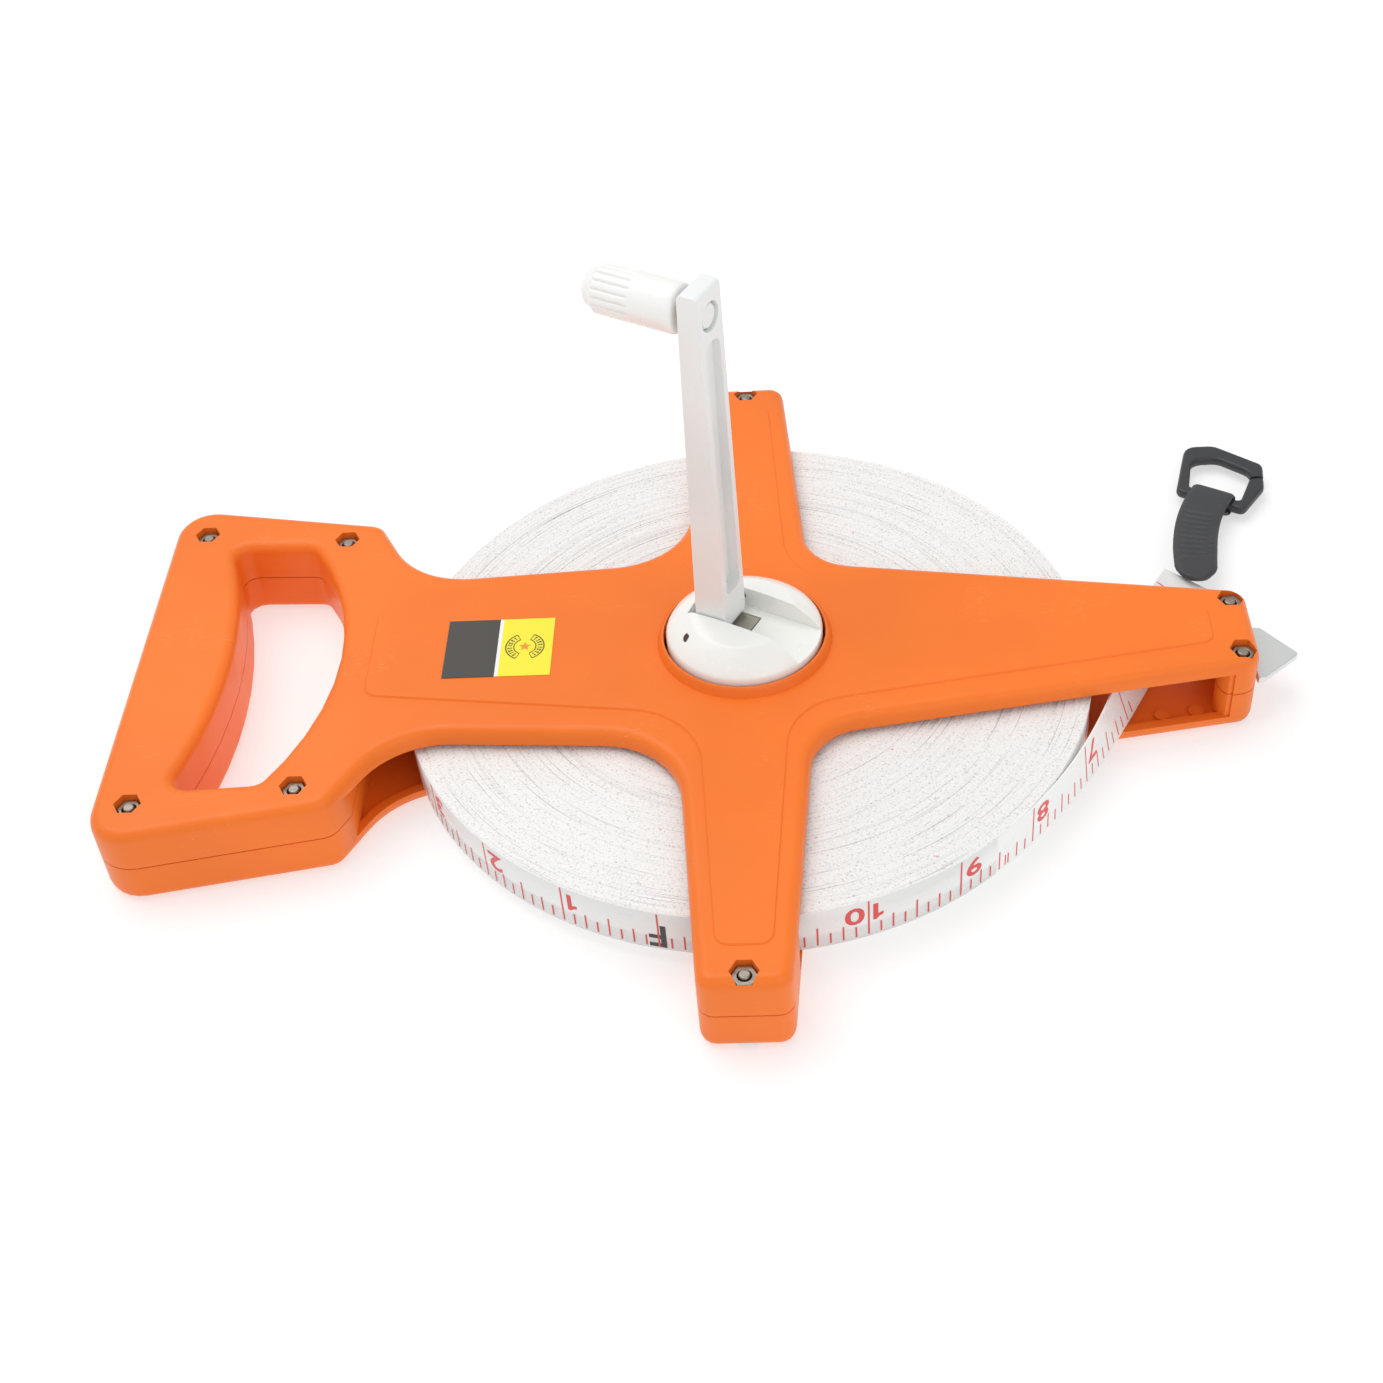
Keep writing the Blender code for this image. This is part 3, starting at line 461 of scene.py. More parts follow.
emblem_body = emblem.modifiers.new("ink", "SOLIDIFY")
emblem_body.thickness = EMBLEM_INK
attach(emblem, "frame")
corner = np.arange(STAR_CORNERS)
star_angles = math.pi / 2 + 2 * math.pi * corner / STAR_CORNERS
star_reach = np.where(corner % 2 == 0, STAR_TIP, STAR_NOTCH)
star = np.column_stack((star_reach * np.cos(star_angles), star_reach * np.sin(star_angles), 0 * star_angles))
next_corner = (corner + 1) % STAR_CORNERS
star_sides = np.column_stack((corner, next_corner, next_corner + STAR_CORNERS, corner + STAR_CORNERS))
star_mark = mesh_object(
    "label_star", np.concatenate((star, star + (0, 0, EMBLEM_INK))) + emblem_middle,
    [corner[::-1].tolist(), (corner + STAR_CORNERS).tolist(), *star_sides.tolist()],
)
star_mark.data.materials.append(film("star_ink", (0.9, 0.30, 0.03)))
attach(star_mark, "frame")

# The reel's spool is moulded in the same orange plastic. It turns on a boss inside the rear half,
# and the blade is wound on it, so hardly any of it shows.
SPOOL_EDGE = 0.3 * MM
finished_copy("reel_drum", "spool", "reel", orange_abs, SPOOL_EDGE)

# The blade is a PVC-coated glass-fibre ribbon, half an inch wide and 0.45 mm thick, wound edge
# to edge into a disc. The wraps stand a hair above or below each other, so the disc shows rings,
# and here and there a gap opens between two of them.
PACK_CORE = 28 * MM
WRAP_STEP = 0.45 * MM
WRAP_RISE = 0.16 * MM
AROUND = 120
NEIGHBOURS, SPARE_WRAPS = 3, 8
LEVEL_SPREAD, LEVEL_LEAST, LEVEL_MOST = 0.6, -1.2, 1.0
GAP_LEAST, GAP_MOST, GAP_RARITY = 0.03 * MM, 0.4 * MM, 12
GAP_EVEN, GAP_UNEVEN = 0.55, 0.45
WAVE_HEIGHT, MOST_WAVES = 0.05 * MM, 5
GAP_FLANK, GAP_FLOOR = 0.10 * MM, 0.05 * MM
pack_low, pack_high = (np.array(corner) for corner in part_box("tape_pack"))
PACK_RADIUS = (pack_high[0] - pack_low[0]) / 2
BLADE_LOW, BLADE_HIGH = pack_low[2], pack_high[2]

wraps = int((PACK_RADIUS - PACK_CORE) / WRAP_STEP)
chance = np.random.default_rng(7)
rough_levels = np.convolve(chance.normal(size=wraps + SPARE_WRAPS), np.ones(NEIGHBOURS) / NEIGHBOURS, "same")
rough_levels = rough_levels[SPARE_WRAPS // 2:wraps + SPARE_WRAPS // 2]
levels = WRAP_RISE * np.clip(LEVEL_SPREAD * rough_levels, LEVEL_LEAST, LEVEL_MOST)
gaps = GAP_LEAST + GAP_MOST * chance.random(wraps) ** GAP_RARITY
bends = chance.integers(1, MOST_WAVES, wraps)
phases = chance.random((2, wraps)) * 2 * math.pi
turn = np.linspace(0, 2 * math.pi, AROUND, endpoint=False)[:, None]
waves = levels[None, :] + WAVE_HEIGHT * np.cos(bends * turn + phases[0])
gap_depths = gaps[None, :] * (GAP_EVEN + GAP_UNEVEN * np.cos(bends * turn + phases[1]))


def lathe(name, radii, heights):
    """A closed surface round Z: a closed profile of radii, whose height at each radius may change with
    the turn. A point is its radius times the cosine and sine of the turn, at its height."""
    turns, width = heights.shape
    angle = np.linspace(0, 2 * math.pi, turns, endpoint=False)[:, None]
    points = np.stack((radii[None, :] * np.cos(angle), radii[None, :] * np.sin(angle), heights), axis=-1)
    row, column = np.meshgrid(np.arange(turns), np.arange(width), indexing="ij")
    here, onwards = row * width, (row + 1) % turns * width
    next_column = (column + 1) % width
    faces = np.stack((here + column, onwards + column, onwards + next_column, here + next_column), axis=-1)
    return mesh_object(name, points, faces.reshape(-1, 4))


wrap_starts = PACK_CORE + WRAP_STEP * np.arange(wraps)
wrap_ends = np.append(wrap_starts[1:], PACK_RADIUS)
top_radii = np.stack((wrap_starts, wrap_ends - GAP_FLANK, wrap_ends - GAP_FLOOR), axis=1).reshape(-1)
top_radii[-1] = PACK_RADIUS
top_heights = np.stack((waves, waves, waves - gap_depths), axis=2).reshape(AROUND, -1)
top_heights += BLADE_HIGH - WRAP_RISE
top_heights[:, -2:] = BLADE_HIGH
under_radii = np.stack((wrap_starts, wrap_ends - GAP_FLOOR), axis=1).reshape(-1)
under_radii[-1] = PACK_RADIUS
under_heights = np.repeat(BLADE_LOW + WRAP_RISE - waves, 2, axis=1)
under_heights[:, -2:] = BLADE_LOW
profile_radii = np.concatenate((top_radii[::-1], under_radii))
profile_heights = np.concatenate((top_heights[:, ::-1], under_heights), axis=1)
pack = lathe("wound_blade", profile_radii, profile_heights)
OUTER_COLUMN = len(profile_radii) - 1

EDGE_WHITE, BLADE_WHITE, SPECK_RED = (0.87, 0.87, 0.86), (0.86, 0.86, 0.85), (0.62, 0.10, 0.10)
FIBRES, RED_SPECKS = 1700, 650
RING_DEPTH = 0.15 * MM


def wound_material(name):
    """The blade's cut edges seen as rings: off-white, with thin grey rings of painted shade where the gaps
    between wraps lie, a speckle of loose fibre and red ink. A ring is noise on the distance from the axis,
    which changes slowly along a wrap."""
    made = plain_material(name, BLADE_WHITE, 0.5)
    tree = made.node_tree
    place = object_place(tree)
    flat = tree.nodes.new("ShaderNodeVectorMath")
    flat.operation = "MULTIPLY"
    flat.inputs[1].default_value = (1, 1, 0)
    tree.links.new(place, flat.inputs[0])
    reach = tree.nodes.new("ShaderNodeVectorMath")
    reach.operation = "LENGTH"
    tree.links.new(flat.outputs["Vector"], reach.inputs[0])
    along = tree.nodes.new("ShaderNodeSeparateXYZ")
    tree.links.new(place, along.inputs[0])

    def rings(across_scale, along_scale, low, high, depth):
        """Dark rings of painted shade where the gaps between wraps lie, darkened by this depth, narrow
        outwards and long along the wrap.
        """
        joined = tree.nodes.new("ShaderNodeCombineXYZ")
        parts = (
            (reach.outputs["Value"], across_scale), (along.outputs["X"], along_scale),
            (along.outputs["Y"], along_scale),
        )
        for socket, (value, scale) in zip(joined.inputs, parts):
            tree.links.new(maths(tree, "MULTIPLY", value, scale), socket)
        return ranged(tree, noise(tree, joined.outputs["Vector"], 1, 1), low, high, 1.0, 1.0 - depth)

    # Painted shade: both kinds of ring darken the colour where the gaps between wraps lie. The fibre speckle
    # darkens it further, and the same value also tilts the surface as relief.
    shade = maths(tree, "MULTIPLY", rings(2300, 28, 0.64, 0.74, 0.34), rings(700, 16, 0.60, 0.76, 0.10))
    speckle = ranged(tree, noise(tree, place, FIBRES), 0.54, 0.72, 1.0, 0.70)
    shade = maths(tree, "MULTIPLY", shade, speckle)
    rare = ranged(tree, noise(tree, place, RED_SPECKS), 0.73, 0.78, 0.0, 0.6)
    colour = mixed(tree, rare, dimmed(tree, EDGE_WHITE, shade), SPECK_RED)
    tree.links.new(colour, tree.nodes["Principled BSDF"].inputs["Base Color"])
    raised(tree, shade, 0.25, RING_DEPTH)
    return made


pack.data.materials.append(wound_material("wound_edges"))
blade_pvc = moulded_plastic("blade_pvc", (0.86, 0.87, 0.86), (0.70, 0.68, 0.66), 0.28, relief=0.05, coat=0.2)
pack.data.materials.append(blade_pvc)
outer_wall = np.arange(len(pack.data.polygons)) % len(profile_radii) == OUTER_COLUMN
pack.data.polygons.foreach_set("use_smooth", outer_wall)
pack.data.polygons.foreach_set("material_index", outer_wall.astype(int))
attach(pack, "reel")
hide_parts("tape_pack")

# The scale is printed in red along the blade: a full line each inch, shorter ones at the half,
# quarter and eighth, the inch's number beside its line, and a black foot mark at each twelfth.
INCH = 25.4 * MM
EIGHTHS = 8
INCHES = 12
LEAVE_ANGLE = math.radians(-48)
FOOT_MARK_ANGLE = math.radians(-103.45)
FOOT_MARK_RUN = (LEAVE_ANGLE - FOOT_MARK_ANGLE) * PACK_RADIUS
LINE_WIDTH = 0.45 * MM
INK, INK_GAP = 0.03 * MM, 0.004 * MM
TICK_FOOT = 0.8 * MM
TICK_TOPS = {0: 12.6 * MM, 4: 7 * MM, 2: 5.6 * MM, 6: 5.6 * MM}
SHORT_TICK_TOP = 4.4 * MM
NUMBER_BASE, NUMBER_SIZE, NUMBER_STRETCH = 11.1 * MM, 8.0 * MM, 1.3
NUMBER_GAP, PAIR_GAP = 1.4 * MM, 0.9 * MM
ROOM_BEFORE, ROOM_AFTER = 7 * MM, 6 * MM
FOOT_LETTER_BASE, FOOT_LETTER_SIZE = 8.4 * MM, 11 * MM
LETTER_WEIGHT, LETTER_STEPS = 0.17 * MM, 3
SAME_CORNER = 1e-7
ONE_SHIFTS = {"RIGHT": -0.36, "LEFT": 0.03}
ONE_RIM = ((0.17, 0), (0.33, 0), (0.33, 0.7), (0.22, 0.7), (0.13, 0.6), (0, 0.55), (0, 0.42), (0.17, 0.47))
SCALE_END_GAP = 2 * MM


def on_pack(points):
    """Points (distance back along the blade, height, outwards) wrapped round the pack: the distance
    over the radius is an angle."""
    angle = LEAVE_ANGLE - points[:, 0] / PACK_RADIUS
    reach = PACK_RADIUS + points[:, 2]
    return np.stack((reach * np.cos(angle), reach * np.sin(angle), BLADE_LOW + points[:, 1]), axis=1)


def welded(mesh, within):
    """The mesh with points this near each other made one."""
    shape = bmesh.new()
    shape.from_mesh(mesh)
    bmesh.ops.remove_doubles(shape, verts=shape.verts, dist=within)
    shape.to_mesh(mesh)
    shape.free()


def turned_outwards(mesh):
    """The mesh with every face pointing out of its closed shape."""
    shape = bmesh.new()
    shape.from_mesh(mesh)
    bmesh.ops.recalc_face_normals(shape, faces=shape.faces)
    shape.to_mesh(mesh)
    shape.free()


def extruded(rim):
    """A thin closed plate from the rim of a flat shape."""
    count = len(rim)
    points = np.hstack((np.tile(rim, (2, 1)), np.repeat([INK_GAP, INK], count)[:, None]))
    sides = [(i, (i + 1) % count, (i + 1) % count + count, i + count) for i in range(count)]
    return points, [tuple(range(count)), tuple(range(2 * count - 1, count - 1, -1)), *sides]


def line_shape(middle, top):
    """A printed line across the blade: a thin closed bar."""
    left, right = middle - LINE_WIDTH / 2, middle + LINE_WIDTH / 2
    return extruded(np.array([(left, TICK_FOOT), (right, TICK_FOOT), (right, top), (left, top)]))


def one_shape(middle, base, size, align):
    """The figure one, a post with a slanted flag, standing on its head."""
    rim = np.array(ONE_RIM)
    along = middle + size * (rim[:, 0] + ONE_SHIFTS[align])
    return extruded(np.column_stack((along, base - size * rim[:, 1])))


def text_shape(text, middle, base, size, stretch=1.0, align="CENTER"):
    """A printed character, standing on its head as the scale is read from the other side."""
    if text == "1":
        return one_shape(middle, base, size, align)
    curve = bpy.data.curves.new("print", "FONT")
    curve.body = text
    curve.size = size
    curve.align_x = align
    curve.extrude = INK / 2
    curve.resolution_u = LETTER_STEPS
    curve.offset = LETTER_WEIGHT
    guide = linked("print", curve)
    mesh = bpy.data.meshes.new_from_object(guide.evaluated_get(bpy.context.evaluated_depsgraph_get()))
    welded(mesh, SAME_CORNER)
    points = np.empty(3 * len(mesh.vertices))
    mesh.vertices.foreach_get("co", points)
    points = points.reshape(-1, 3)
    faces = [tuple(face.vertices) for face in mesh.polygons]
    bpy.data.objects.remove(guide)
    along = middle + stretch * points[:, 0]
    return np.stack((along, base - points[:, 1], points[:, 2] + INK / 2 + INK_GAP), axis=1), faces


def printed(name, shapes, carry, looks):
    """One object of printed shapes, each carried onto the blade and given its ink."""
    points, faces, inks, count = [], [], [], 0
    for (flat, rims), ink in shapes:
        points.append(carry(flat))
        faces += [tuple(count + i for i in rim) for rim in rims]
        inks += [ink] * len(rims)
        count += len(flat)
    obj = mesh_object(name, np.concatenate(points), faces)
    for look in looks:
        obj.data.materials.append(look)
    obj.data.polygons.foreach_set("material_index", inks)
    turned_outwards(obj.data)
    return obj


def scale_shapes(first, last):
    """Every line and number whose place along the blade lies between two distances."""
    shapes = []
    lowest = math.ceil((first - FOOT_MARK_RUN) * EIGHTHS / INCH)
    highest = math.floor((last - FOOT_MARK_RUN) * EIGHTHS / INCH)
    for eighth in range(lowest, highest + 1):
        place = FOOT_MARK_RUN + eighth * INCH / EIGHTHS
        shapes.append((line_shape(place, TICK_TOPS.get(eighth % EIGHTHS, SHORT_TICK_TOP)), RED))
        if eighth % EIGHTHS or place - ROOM_BEFORE < first or place + ROOM_AFTER > last:
            continue
        number = str(eighth // EIGHTHS % INCHES)
        style = (NUMBER_BASE, NUMBER_SIZE, NUMBER_STRETCH)
        if number == "0":
            shapes.append((text_shape("F", place, FOOT_LETTER_BASE, FOOT_LETTER_SIZE), BLACK))
        elif len(number) == 1:
            shapes.append((text_shape(number, place - NUMBER_GAP, *style, "RIGHT"), RED))
        else:
            shapes.append((text_shape(number[0], place - PAIR_GAP, *style, "RIGHT"), RED))
            shapes.append((text_shape(number[1], place + PAIR_GAP, *style, "LEFT"), RED))
    return shapes


red_ink = moulded_plastic("red_ink", (0.72, 0.075, 0.07), (0.8, 0.35, 0.33), 0.4, scuffs=1.0, relief=0.0)
black_ink = moulded_plastic("black_ink", (0.035, 0.035, 0.04), (0.3, 0.3, 0.3), 0.4, scuffs=0.8, relief=0.0)
RED, BLACK = 0, 1
inks = (red_ink, black_ink)
full_turn = 2 * math.pi * PACK_RADIUS
scale = printed("pack_scale", scale_shapes(0, full_turn - SCALE_END_GAP), on_pack, inks)
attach(scale, "reel")

# The free run of the blade is one ribbon, from the right side of the pack across the nose to the
# tab. It stands on edge where it leaves and leans over until it is nearly flat under the tab. The
# stretch between the frame and the tab carries no print.
BLADE_WIDTH = BLADE_HIGH - BLADE_LOW
BLADE_THICKNESS = 0.45 * MM
LEAVE_REACH, END_REACH = 48 * MM, 40 * MM
RUN_END = np.array([122.8, 38.8]) * MM
RUN_END_HEADING = math.radians(60)
RUN_END_LEAN = math.radians(78)
LEAN_GROWTH = 2
RUN_STEPS, RUN_MARKS = 120, 801
LEAD_IN_END = 0.54
LEADER_START, LEADER_PRINT_END = 0.8, 0.95
LEAD_SCALE_GAP = 1 * MM
BLADE_SHARP = math.radians(40)
UP = np.array([0, 0, 1.0])
run_start = PACK_RADIUS * np.array([math.cos(LEAVE_ANGLE), math.sin(LEAVE_ANGLE)])
leave_way = np.array([-math.sin(LEAVE_ANGLE), math.cos(LEAVE_ANGLE)])
end_way = np.array([math.cos(RUN_END_HEADING), math.sin(RUN_END_HEADING)])
run_controls = np.array([
    run_start, run_start + LEAVE_REACH * leave_way, RUN_END - END_REACH * end_way, RUN_END,
])


def on_cubic(controls, share):
    """Places and unit directions on the cubic curve through four control points, at shares from 0 to 1."""
    s = np.asarray(share, float)[:, None]
    a, b, c, d = controls
    place = (1 - s) ** 3 * a + 3 * s * (1 - s) ** 2 * b + 3 * s**2 * (1 - s) * c + s**3 * d
    way = (1 - s) ** 2 * (b - a) + 2 * s * (1 - s) * (c - b) + s**2 * (d - c)
    return place, way / np.linalg.norm(way, axis=1, keepdims=True)


run_shares = np.linspace(0, 1, RUN_MARKS)
run_marks = on_cubic(run_controls, run_shares)[0]
run_lengths = np.concatenate(([0], np.cumsum(np.linalg.norm(np.diff(run_marks, axis=0), axis=1))))


def on_run(points):
    """Points (distance back along the blade from where it leaves, height, outwards) carried onto the
    free run: each is set off from the curve across the leaning blade and through its thickness. The
    lean grows with the square of the share of the run, and the lower edge stays level."""
    share = np.interp(-points[:, 0], run_lengths, run_shares)
    place, way = on_cubic(run_controls, share)
    outwards = np.column_stack((way[:, 1], -way[:, 0], np.zeros(len(way))))
    lean = (RUN_END_LEAN * share**LEAN_GROWTH)[:, None]
    across = UP * np.cos(lean) - outwards * np.sin(lean)
    through = outwards * np.cos(lean) + UP * np.sin(lean)
    middle = np.column_stack((place, BLADE_LOW + BLADE_WIDTH / 2 * np.cos(lean[:, 0])))
    return middle + across * (points[:, 1:2] - BLADE_WIDTH / 2) + through * points[:, 2:3]


def on_blade(points):
    """Points carried onto the free run, and those behind where it leaves onto the pack."""
    return np.where(points[:, :1] < 0, on_run(points), on_pack(points))


def tube_faces(rings, sides):
    """Faces of a closed tube of rings, with a flat cap at each end."""
    index = np.arange(sides * (rings - 1)).reshape(rings - 1, sides)
    turned = np.roll(index, -1, axis=1)
    walls = np.stack((index, turned, turned + sides, index + sides), axis=-1).reshape(-1, 4)
    last = (rings - 1) * sides
    return walls.tolist() + [list(range(sides))[::-1], list(range(last, last + sides))]


def shell(name, points, faces):
    """A closed mesh from points and mixed faces, with its normals turned outwards."""
    obj = mesh_object(name, points, faces)
    turned_outwards(obj.data)
    return obj


rim = np.array([(0, 0), (0.5, 0), (1, 0), (1, -1), (0.5, -1), (0, -1)]) * (BLADE_WIDTH, BLADE_THICKNESS)
ribbon = np.empty((RUN_STEPS + 1, len(rim), 3))
ribbon[:, :, 0] = -np.linspace(0, run_lengths[-1], RUN_STEPS + 1)[:, None]
ribbon[:, :, 1:] = rim
blade = shell("free_blade", on_run(ribbon.reshape(-1, 3)), tube_faces(RUN_STEPS + 1, len(rim)))
blade.data.materials.append(blade_pvc)
blade.data.shade_smooth()
blade.data.set_sharp_from_angle(angle=BLADE_SHARP)
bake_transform(blade)
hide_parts("tape_lead_in", "tape_leader")
print_shares = [LEAD_IN_END, LEADER_START, LEADER_PRINT_END]
lead_in_run, leader_start, leader_end = np.interp(print_shares, run_shares, run_lengths)
lead_scale = printed("lead_scale", scale_shapes(-lead_in_run, -LEAD_SCALE_GAP), on_blade, inks)
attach(lead_scale, "frame")
leader_scale = printed("leader_scale", scale_shapes(-leader_end, -leader_start), on_run, inks)
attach(leader_scale, "tape_end")

# The hub is a white domed moulding in the frame's collar, with the slot that the crank's foot folds
# in, and on its slope the small hole left by the mould's pin, drawn as a dark patch of painted shade.
HUB_EDGE = 0.22 * MM
VENT_PLACE = np.array([-14.8, -7.1]) * MM
VENT_REACH = np.array([0.75, 1.3]) * MM
SLOPE_REACH = np.array([16.0, 17.5, 20.0]) * MM
SLOPE_HEIGHT = np.array([32.33, 31.2, 28.9]) * MM
VENT_LIFT, VENT_CROWN, VENT_DEPTH = 0.02 * MM, 0.05 * MM, 0.25 * MM
VENT_STEPS = 24
VENT_RINGS = np.array([[0.04, 0.4, 0.8, 1.0]])
hub_white = moulded_plastic(
    "hub_white", (0.93, 0.935, 0.90), (0.70, 0.68, 0.62), 0.30, scuffs=0.15, relief=0.02, coat=0.2
)
finished_copy("crank_hub", "hub", "reel", hub_white, HUB_EDGE)
# The hole's painted shade is a thin dark lens: its rim is an ellipse with two slow waves on it, and it
# follows the hub's slope.
vent_turn = np.linspace(0, 2 * math.pi, VENT_STEPS, endpoint=False)[:, None]
lobes = 1 + 0.22 * np.sin(2 * vent_turn + 0.6) + 0.1 * np.sin(3 * vent_turn)
vent_x = VENT_PLACE[0] + VENT_REACH[0] * VENT_RINGS * lobes * np.cos(vent_turn)
vent_y = VENT_PLACE[1] + VENT_REACH[1] * VENT_RINGS * lobes * np.sin(vent_turn)
vent_z = np.interp(np.hypot(vent_x, vent_y), SLOPE_REACH, SLOPE_HEIGHT)
vent_z += VENT_LIFT + VENT_CROWN * (1 - VENT_RINGS**4)
vent_points = np.stack((vent_x, vent_y, vent_z), axis=-1).transpose(1, 0, 2).reshape(-1, 3)
vent_under = vent_points[-VENT_STEPS:] - (0, 0, VENT_DEPTH)
vent_shade = shell("hub_vent_shade", np.vstack((vent_points, vent_under)), tube_faces(VENT_RINGS.size + 1, VENT_STEPS))
vent_shade.data.materials.append(moulded_plastic(
    "vent_shadow", (0.07, 0.04, 0.025), (0.22, 0.13, 0.08), 0.7, scuffs=1.0, relief=0.2
))
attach(vent_shade, "reel")

# Inside the hub a steel pin carries the crank's foot. Under the foot lies a flat spring, bent from
# steel strip, which holds the crank upright or folded.
PIN_EDGE, SPRING_EDGE = 0.1 * MM, 0.12 * MM
finished_copy("crank_hinge_pin", "hinge_pin", "reel", zinc, PIN_EDGE)
spring_steel = worn_metal("spring_steel", (0.50, 0.48, 0.43), (0.32, 0.30, 0.25), 0.4)
finished_copy("detent_spring", "foot_spring", "reel", spring_steel, SPRING_EDGE)

# The crank is a tapered white lever with a long channel in the side that faces the fold. A rivet
# with a flat head, painted white, holds the knob at its end.
LEVER_EDGE = 0.5 * MM
HEAD_FROM = -5 * MM
crank_white = moulded_plastic(
    "crank_white", (0.86, 0.885, 0.88), (0.62, 0.58, 0.52), 0.34, scuffs=0.25, relief=0.02, coat=0.15
)
finished_copy("crank_arm", "lever", "crank", crank_white, LEVER_EDGE)
brass = worn_metal("axle_brass", (0.80, 0.56, 0.26), (0.55, 0.36, 0.14), 0.3)
rivet = finished_copy("knob_axle", "rivet", "crank", brass, 0)
rivet.data.materials.append(crank_white)
fold = next(joint for joint in frame["joints"] if joint["name"] == "crank_fold")
towards_fold = np.array([fold["axis"][1], -fold["axis"][0], 0])
rivet_faces = np.empty(3 * len(rivet.data.polygons))
rivet.data.polygons.foreach_get("center", rivet_faces)
on_head = rivet_faces.reshape(-1, 3) @ towards_fold > HEAD_FROM
rivet.data.polygons.foreach_set("material_index", on_head.astype(int))

# The knob is a white barrel that turns on the rivet. Its outer part has long pads with narrow
# grooves between them, and its end is a dome.
KNOB_RADIUS = 6.25 * MM
KNOB_BORE, BORE_DEPTH, BORE_LEAD = 2.3 * MM, 20 * MM, 0.3 * MM
BARREL_FROM, BARREL_SPARE, BARREL_STEPS = 2 * MM, 4.6 * MM, 26
DOME_DEPTH, DOME_INSET, DOME_FULLNESS, DOME_STEPS = 4.0 * MM, 1.0 * MM, 0.6, 9
PADS, STEPS_PER_PAD = 18, 10
GROOVE, GROOVE_WIDTH = 0.55 * MM, 0.13
GROOVES_FROM, GROOVES_SPARE = 11.5 * MM, 4.0 * MM
GROOVE_START, GROOVE_END = 1.2 * MM, 0.8 * MM
KNOB_SHARP = math.radians(50)
knob_joint = next(joint for joint in frame["joints"] if joint["name"] == "knob_spin")
KNOB_START = np.array(knob_joint["pos_m"], float)
KNOB_WAY = np.array(knob_joint["axis"], float)
grip = frame["nodes"]["knob_grip"].data
grip_points = np.empty(3 * len(grip.vertices))
grip.vertices.foreach_get("co", grip_points)
KNOB_LENGTH = float(((grip_points.reshape(-1, 3) - KNOB_START) @ KNOB_WAY).max())


def knob_outline():
    """Distance along the knob and radius at each station: up the bore, round the flat start, along the
    barrel, over a shoulder and down the dome, whose radius is a power of the cosine of its angle."""
    start = np.array([
        (BORE_DEPTH, 0), (BORE_DEPTH, KNOB_BORE), (0.2 * MM, KNOB_BORE), (0, KNOB_BORE + BORE_LEAD),
        (0, KNOB_RADIUS - 0.9 * MM), (0.25 * MM, KNOB_RADIUS - 0.35 * MM),
        (0.8 * MM, KNOB_RADIUS - 0.1 * MM),
    ])
    barrel = np.linspace(BARREL_FROM, KNOB_LENGTH - BARREL_SPARE, BARREL_STEPS)
    shoulder = np.array([
        (KNOB_LENGTH - 4.4 * MM, KNOB_RADIUS - 0.12 * MM), (KNOB_LENGTH - 4.1 * MM, KNOB_RADIUS - 0.55 * MM),
    ])
    angle = np.linspace(0, math.pi / 2, DOME_STEPS)[1:]
    dome_distance = KNOB_LENGTH - DOME_DEPTH + DOME_DEPTH * np.sin(angle)
    dome_reach = (KNOB_RADIUS - DOME_INSET) * np.cos(angle) ** DOME_FULLNESS
    return np.vstack((
        start, np.column_stack((barrel, np.full(BARREL_STEPS, KNOB_RADIUS))),
        shoulder, np.column_stack((dome_distance, dome_reach)),
    ))


def ramp(value, start, length):
    """A share that grows from 0 to 1 over a length from the start."""
    return np.clip((value - start) / length, 0, 1)


distance, reach = knob_outline().T
depth = ramp(distance, GROOVES_FROM, GROOVE_START) * ramp(-distance, GROOVES_SPARE - KNOB_LENGTH, GROOVE_END)
depth = depth * (reach > KNOB_RADIUS - 0.3 * MM)
turns = np.linspace(0, 2 * math.pi, PADS * STEPS_PER_PAD, endpoint=False)[:, None]
groove = np.exp(-((((turns * PADS / (2 * math.pi)) % 1) - 0.5) / GROOVE_WIDTH) ** 2)
knob_reach = reach - GROOVE * depth * groove
knob_side = np.cross(KNOB_WAY, UP)
knob_grid = (
    KNOB_START + distance[:, None] * KNOB_WAY
    + (knob_reach * np.cos(turns))[:, :, None] * knob_side + (knob_reach * np.sin(turns))[:, :, None] * UP
)
row, column = np.meshgrid(np.arange(len(turns)), np.arange(len(distance) - 1), indexing="ij")
here = row * len(distance) + column
onwards = (row + 1) % len(turns) * len(distance) + column
knob_faces = np.stack((here, here + 1, onwards + 1, onwards), axis=-1).reshape(-1, 4)
knob = mesh_object("knob", knob_grid, knob_faces)
welded(knob.data, SAME_CORNER)
turned_outwards(knob.data)
knob.data.materials.append(moulded_plastic(
    "knob_white", (0.90, 0.90, 0.88), (0.7, 0.66, 0.6), 0.32, scuffs=0.2, relief=0.02, coat=0.15
))
knob.data.shade_smooth()
knob.data.set_sharp_from_angle(angle=KNOB_SHARP)
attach(knob, "knob")
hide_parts("knob_grip")

